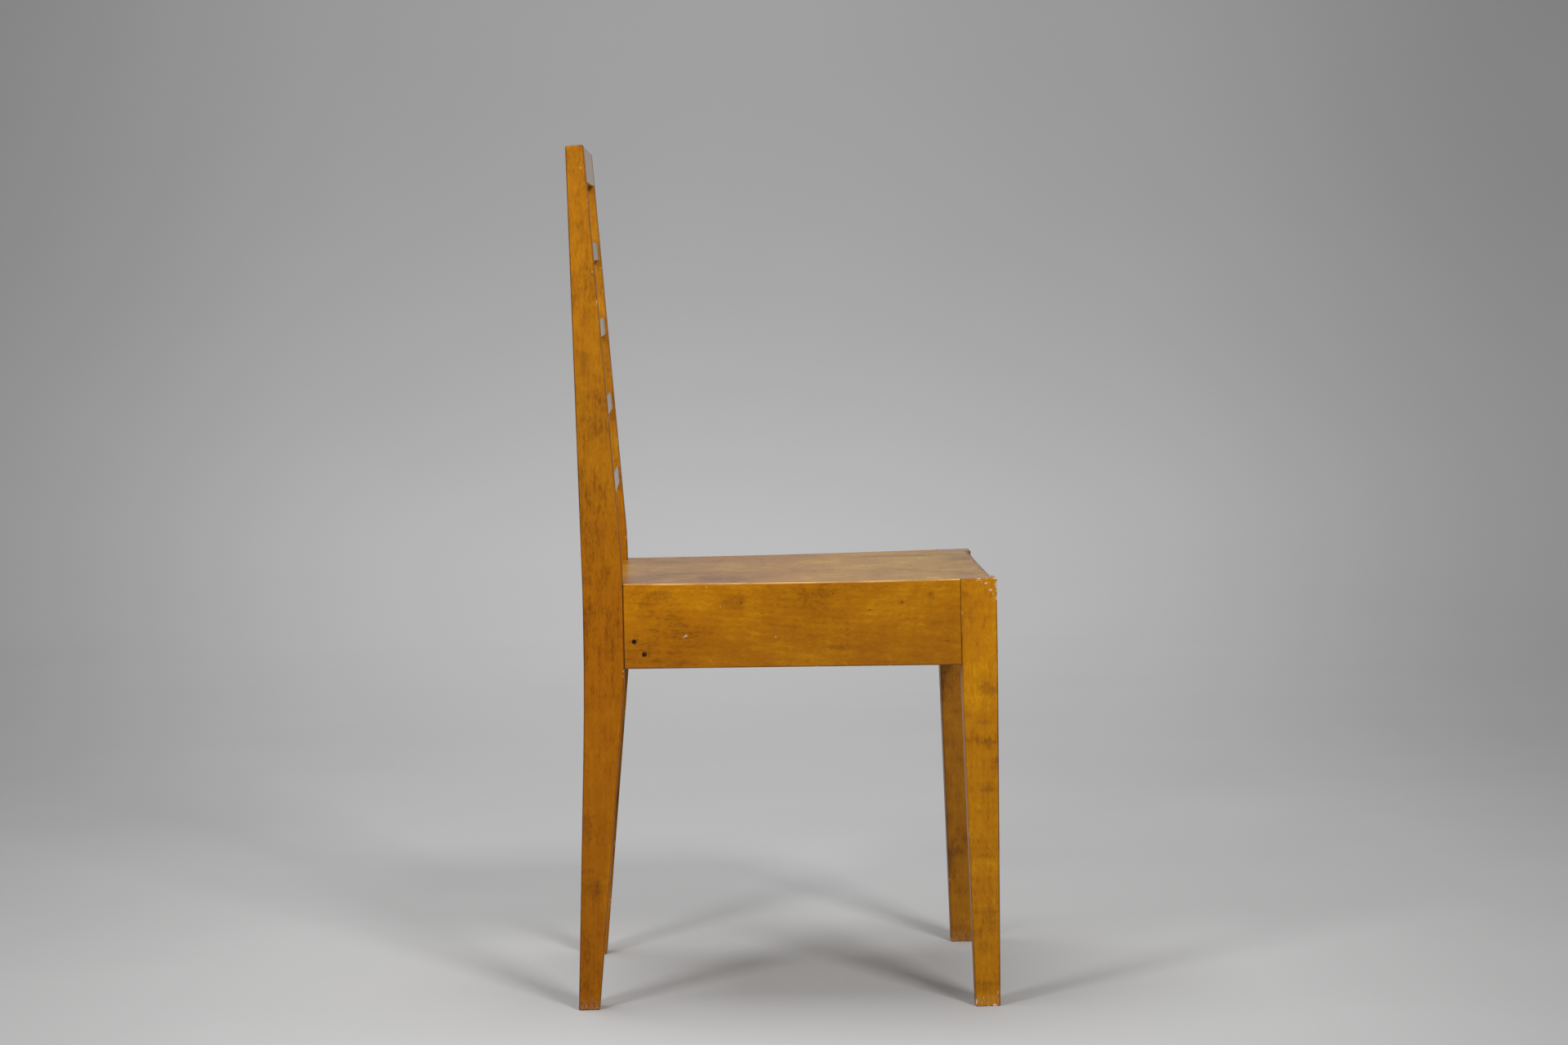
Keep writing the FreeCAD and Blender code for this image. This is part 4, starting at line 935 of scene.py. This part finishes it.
class CHAIR_OT_nails(ChairOperator, bpy.types.Operator):
    """Model the two old nails in the right side rail"""
    bl_idname = "chair.nails"
    bl_label = "Nails"

    def execute(self, context):
        fastenings = context.scene.chair_fastenings
        iron = metal("Nail iron", fastenings.iron, fastenings.rust, 0.75, 0.0, 0.05)
        head, shank, long, rounding, proud = 0.00245, 0.0012, 0.034, 0.0004, 0.0002
        thick, neck, point = 0.0011, 0.0001, 0.0028
        nail = turned(20, head, ((thick, head * 0.94), (neck, shank),
                                 (long - thick - neck - point, shank), (point, shank * 0.1)))
        with Shaping(nail) as shaping:
            shaping.pick("edges", lambda edge: all(abs(v.co.z) < NEAR for v in edge.verts))
            bpy.ops.mesh.bevel(offset=rounding, segments=2)
            bpy.ops.mesh.select_all(action="SELECT")
            bpy.ops.mesh.normals_make_consistent(inside=False)
        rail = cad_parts["side_rail_right"].data.polygons
        face = max((part for part in rail if part.normal.x < -0.9), key=lambda part: part.area)
        places = []
        for centre, _ in heads("rail_nails"):
            gap = (face.center - centre).dot(face.normal)
            places.append((centre + face.normal * (gap + proud), face.normal.copy()))
        piece = copies(nail, places, "old_nails", iron)
        only(piece)
        bpy.ops.object.shade_smooth_by_angle(angle=math.radians(40))
        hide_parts("rail_nails")
        return {"FINISHED"}


class CHAIR_OT_studio(ChairOperator, bpy.types.Operator):
    """Set up the sweep of floor and backdrop, the lights and the camera"""
    bl_idname = "chair.studio"
    bl_label = "Studio"

    def backdrop(self, studio):
        """A round floor that curves up into a wall on every side."""
        floor, rise, top, steps = 4.2, 2.4, 5.5, 20
        clear_selection()
        bpy.ops.mesh.primitive_circle_add(vertices=128, radius=floor, fill_type="NGON")
        sweep = bpy.context.object
        sweep.name = "studio_sweep"
        levels = [(floor + rise * math.sin(angle), rise * (1 - math.cos(angle)))
                  for angle in (math.pi / 2 * step / steps for step in range(1, steps + 1))]
        radius, level = floor, 0.0
        with Shaping(sweep) as shaping:
            shaping.pick("edges", lambda edge: True)
            for wider, higher in [*levels, (floor + rise, top)]:
                bpy.ops.mesh.extrude_edges_move(
                    TRANSFORM_OT_translate={"value": (0, 0, higher - level)})
                bpy.ops.transform.resize(value=(wider / radius, wider / radius, 1))
                radius, level = wider, higher
            bpy.ops.mesh.select_all(action="SELECT")
            bpy.ops.mesh.normals_make_consistent(inside=True)
        bpy.ops.object.shade_smooth()
        sweep.data.materials.append(self.paper(studio))

    def paper(self, studio):
        """Grey paper, brighter in a pool of light before the camera.

        The wall behind the camera throws almost no light back, and the camera sees through the
        sweep from outside.
        """
        material, tree, shader, place = new_material("Studio paper")
        mottle = grains(tree, place, (2, 2, 2), detail=2.0)
        shade = ease(tree, mottle, 0.3, 0.7, 0.985, 1.015)
        x, y, z = parts_of(tree, place)
        seen = put(tree, "ShaderNodeLightPath", {}).outputs["Is Camera Ray"]
        screened = times(tree, ease(tree, x, 1.0, -1.5), ease(tree, z, 0.0, 0.15),
                         calc(tree, "SUBTRACT", 1.0, seen))
        ahead = calc(tree, "SUBTRACT", x, CAMERA_PLACE[0])
        off_middle = calc(tree, "ABSOLUTE", calc(tree, "ADD", y, 0.03))
        pool = ease(tree, calc(tree, "DIVIDE", off_middle, calc(tree, "MAXIMUM", ahead, 0.8)),
                    0.09, 0.21, 1.0, 0.85)
        shade = times(tree, shade, calc(tree, "MULTIPLY_ADD", screened, -0.92, 1.0), pool)
        off_beam = calc(tree, "ABSOLUTE", calc(tree, "SUBTRACT", y, 0.04))
        glow = times(tree, ease(tree, calc(tree, "DIVIDE", off_beam, ahead), 0.24, 0.0, 0.42, 1.0),
                     ease(tree, x, -0.5, 4.4), pool, ease(tree, x, 4.8, 6.4, 1.12, 0.60))
        feed(tree, shader, {"Base Color": brightened(tree, tuple(studio.paper), shade),
                            "Roughness": 0.9, "Specular IOR Level": 0.1,
                            "Emission Color": brightened(tree, tuple(studio.wash), glow),
                            "Emission Strength": 1.0})
        back = put(tree, "ShaderNodeNewGeometry", {}).outputs["Backfacing"]
        clear = put(tree, "ShaderNodeBsdfTransparent", {}).outputs[0]
        both = put(tree, "ShaderNodeMixShader", {
            0: times(tree, back, seen), 1: shader.outputs[0], 2: clear})
        feed(tree, tree.nodes["Material Output"], {"Surface": both.outputs[0]})
        return material

    def light(self, name, place, target, size, watts):
        """A square soft light aimed at a point."""
        lamp = bpy.data.lights.new(name, "AREA")
        lamp.shape = "SQUARE"
        lamp.size = size
        lamp.energy = watts
        holder = bpy.data.objects.new(name, lamp)
        bpy.context.collection.objects.link(holder)
        holder.location = place
        towards = Vector(target) - Vector(place)
        holder.rotation_euler = towards.to_track_quat("-Z", "Y").to_euler()
        holder.visible_camera = False

    def camera(self):
        """The camera at the photograph's place, angle and lens."""
        yaw, pitch, roll = map(math.radians, (CAMERA_YAW, CAMERA_PITCH, CAMERA_ROLL))
        ahead = Vector((math.cos(pitch) * math.cos(yaw), -math.cos(pitch) * math.sin(yaw),
                        math.sin(pitch)))
        side = ahead.cross(Vector((0, 0, 1))).normalized()
        above = side.cross(ahead)
        right = side * math.cos(roll) + above * math.sin(roll)
        up = above * math.cos(roll) - side * math.sin(roll)
        lens = bpy.data.cameras.new("camera")
        lens.sensor_width = CAMERA_SENSOR
        lens.lens = CAMERA_LENS
        holder = bpy.data.objects.new("camera", lens)
        bpy.context.collection.objects.link(holder)
        turn = Matrix((right, up, -ahead)).transposed().to_4x4()
        holder.matrix_world = Matrix.Translation(CAMERA_PLACE) @ turn
        bpy.context.scene.camera = holder

    def execute(self, context):
        studio = context.scene.chair_studio
        self.backdrop(studio)
        aim = (0.1, 0, 0.35)
        self.light("overhead", (0.1, 0.35, 2.7), (0.1, 0.2, 0), 1.8, studio.overhead_power)
        self.light("front_right", (-4.2, -1.7, 3.0), aim, 0.9, studio.front_power)
        self.light("front_left", (-1.7, 1.1, 1.5), aim, 0.4, studio.side_power)
        world = bpy.data.worlds.new("studio")
        world.use_nodes = True
        feed(world.node_tree, world.node_tree.nodes["Background"],
             {"Color": opaque(studio.sky), "Strength": 1.0})
        context.scene.world = world
        context.scene.view_settings.view_transform = "Standard"
        self.camera()
        return {"FINISHED"}


class CHAIR_PT_panel(bpy.types.Panel):
    """The chair's steps and settings in the sidebar"""
    bl_idname = "CHAIR_PT_panel"
    bl_label = "Side chair"
    bl_space_type = "VIEW_3D"
    bl_region_type = "UI"
    bl_category = "Chair"

    def draw(self, context):
        layout = self.layout
        for operator in OPERATORS:
            layout.operator(operator.bl_idname)
        for settings in (context.scene.chair_finish, context.scene.chair_fastenings,
                         context.scene.chair_studio):
            box = layout.box()
            for name in settings.bl_rna.properties.keys():
                if name not in ("rna_type", "name"):
                    box.prop(settings, name)


OPERATORS = (CHAIR_OT_rear_legs, CHAIR_OT_front_legs, CHAIR_OT_seat_rails,
             CHAIR_OT_seat_panel, CHAIR_OT_back_rails, CHAIR_OT_corner_blocks,
             CHAIR_OT_screws, CHAIR_OT_nails, CHAIR_OT_studio)
CLASSES = (ChairFinish, ChairFastenings, ChairStudio, *OPERATORS, CHAIR_PT_panel)


def register():
    """Make the chair's settings, operators and panel known to Blender."""
    for each in CLASSES:
        bpy.utils.register_class(each)
    bpy.types.Scene.chair_finish = bpy.props.PointerProperty(type=ChairFinish)
    bpy.types.Scene.chair_fastenings = bpy.props.PointerProperty(type=ChairFastenings)
    bpy.types.Scene.chair_studio = bpy.props.PointerProperty(type=ChairStudio)


def unregister():
    """Take them away again."""
    for name in ("chair_finish", "chair_fastenings", "chair_studio"):
        delattr(bpy.types.Scene, name)
    for each in reversed(CLASSES):
        bpy.utils.unregister_class(each)


def main():
    """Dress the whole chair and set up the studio."""
    register()
    bpy.ops.object.select_all(action="DESELECT")
    bpy.ops.chair.rear_legs()
    bpy.ops.chair.front_legs()
    bpy.ops.chair.seat_rails()
    bpy.ops.chair.seat_panel()
    bpy.ops.chair.back_rails()
    bpy.ops.chair.corner_blocks()
    bpy.ops.chair.screws()
    bpy.ops.chair.nails()
    bpy.ops.chair.studio()


if __name__ == "__main__":
    main()
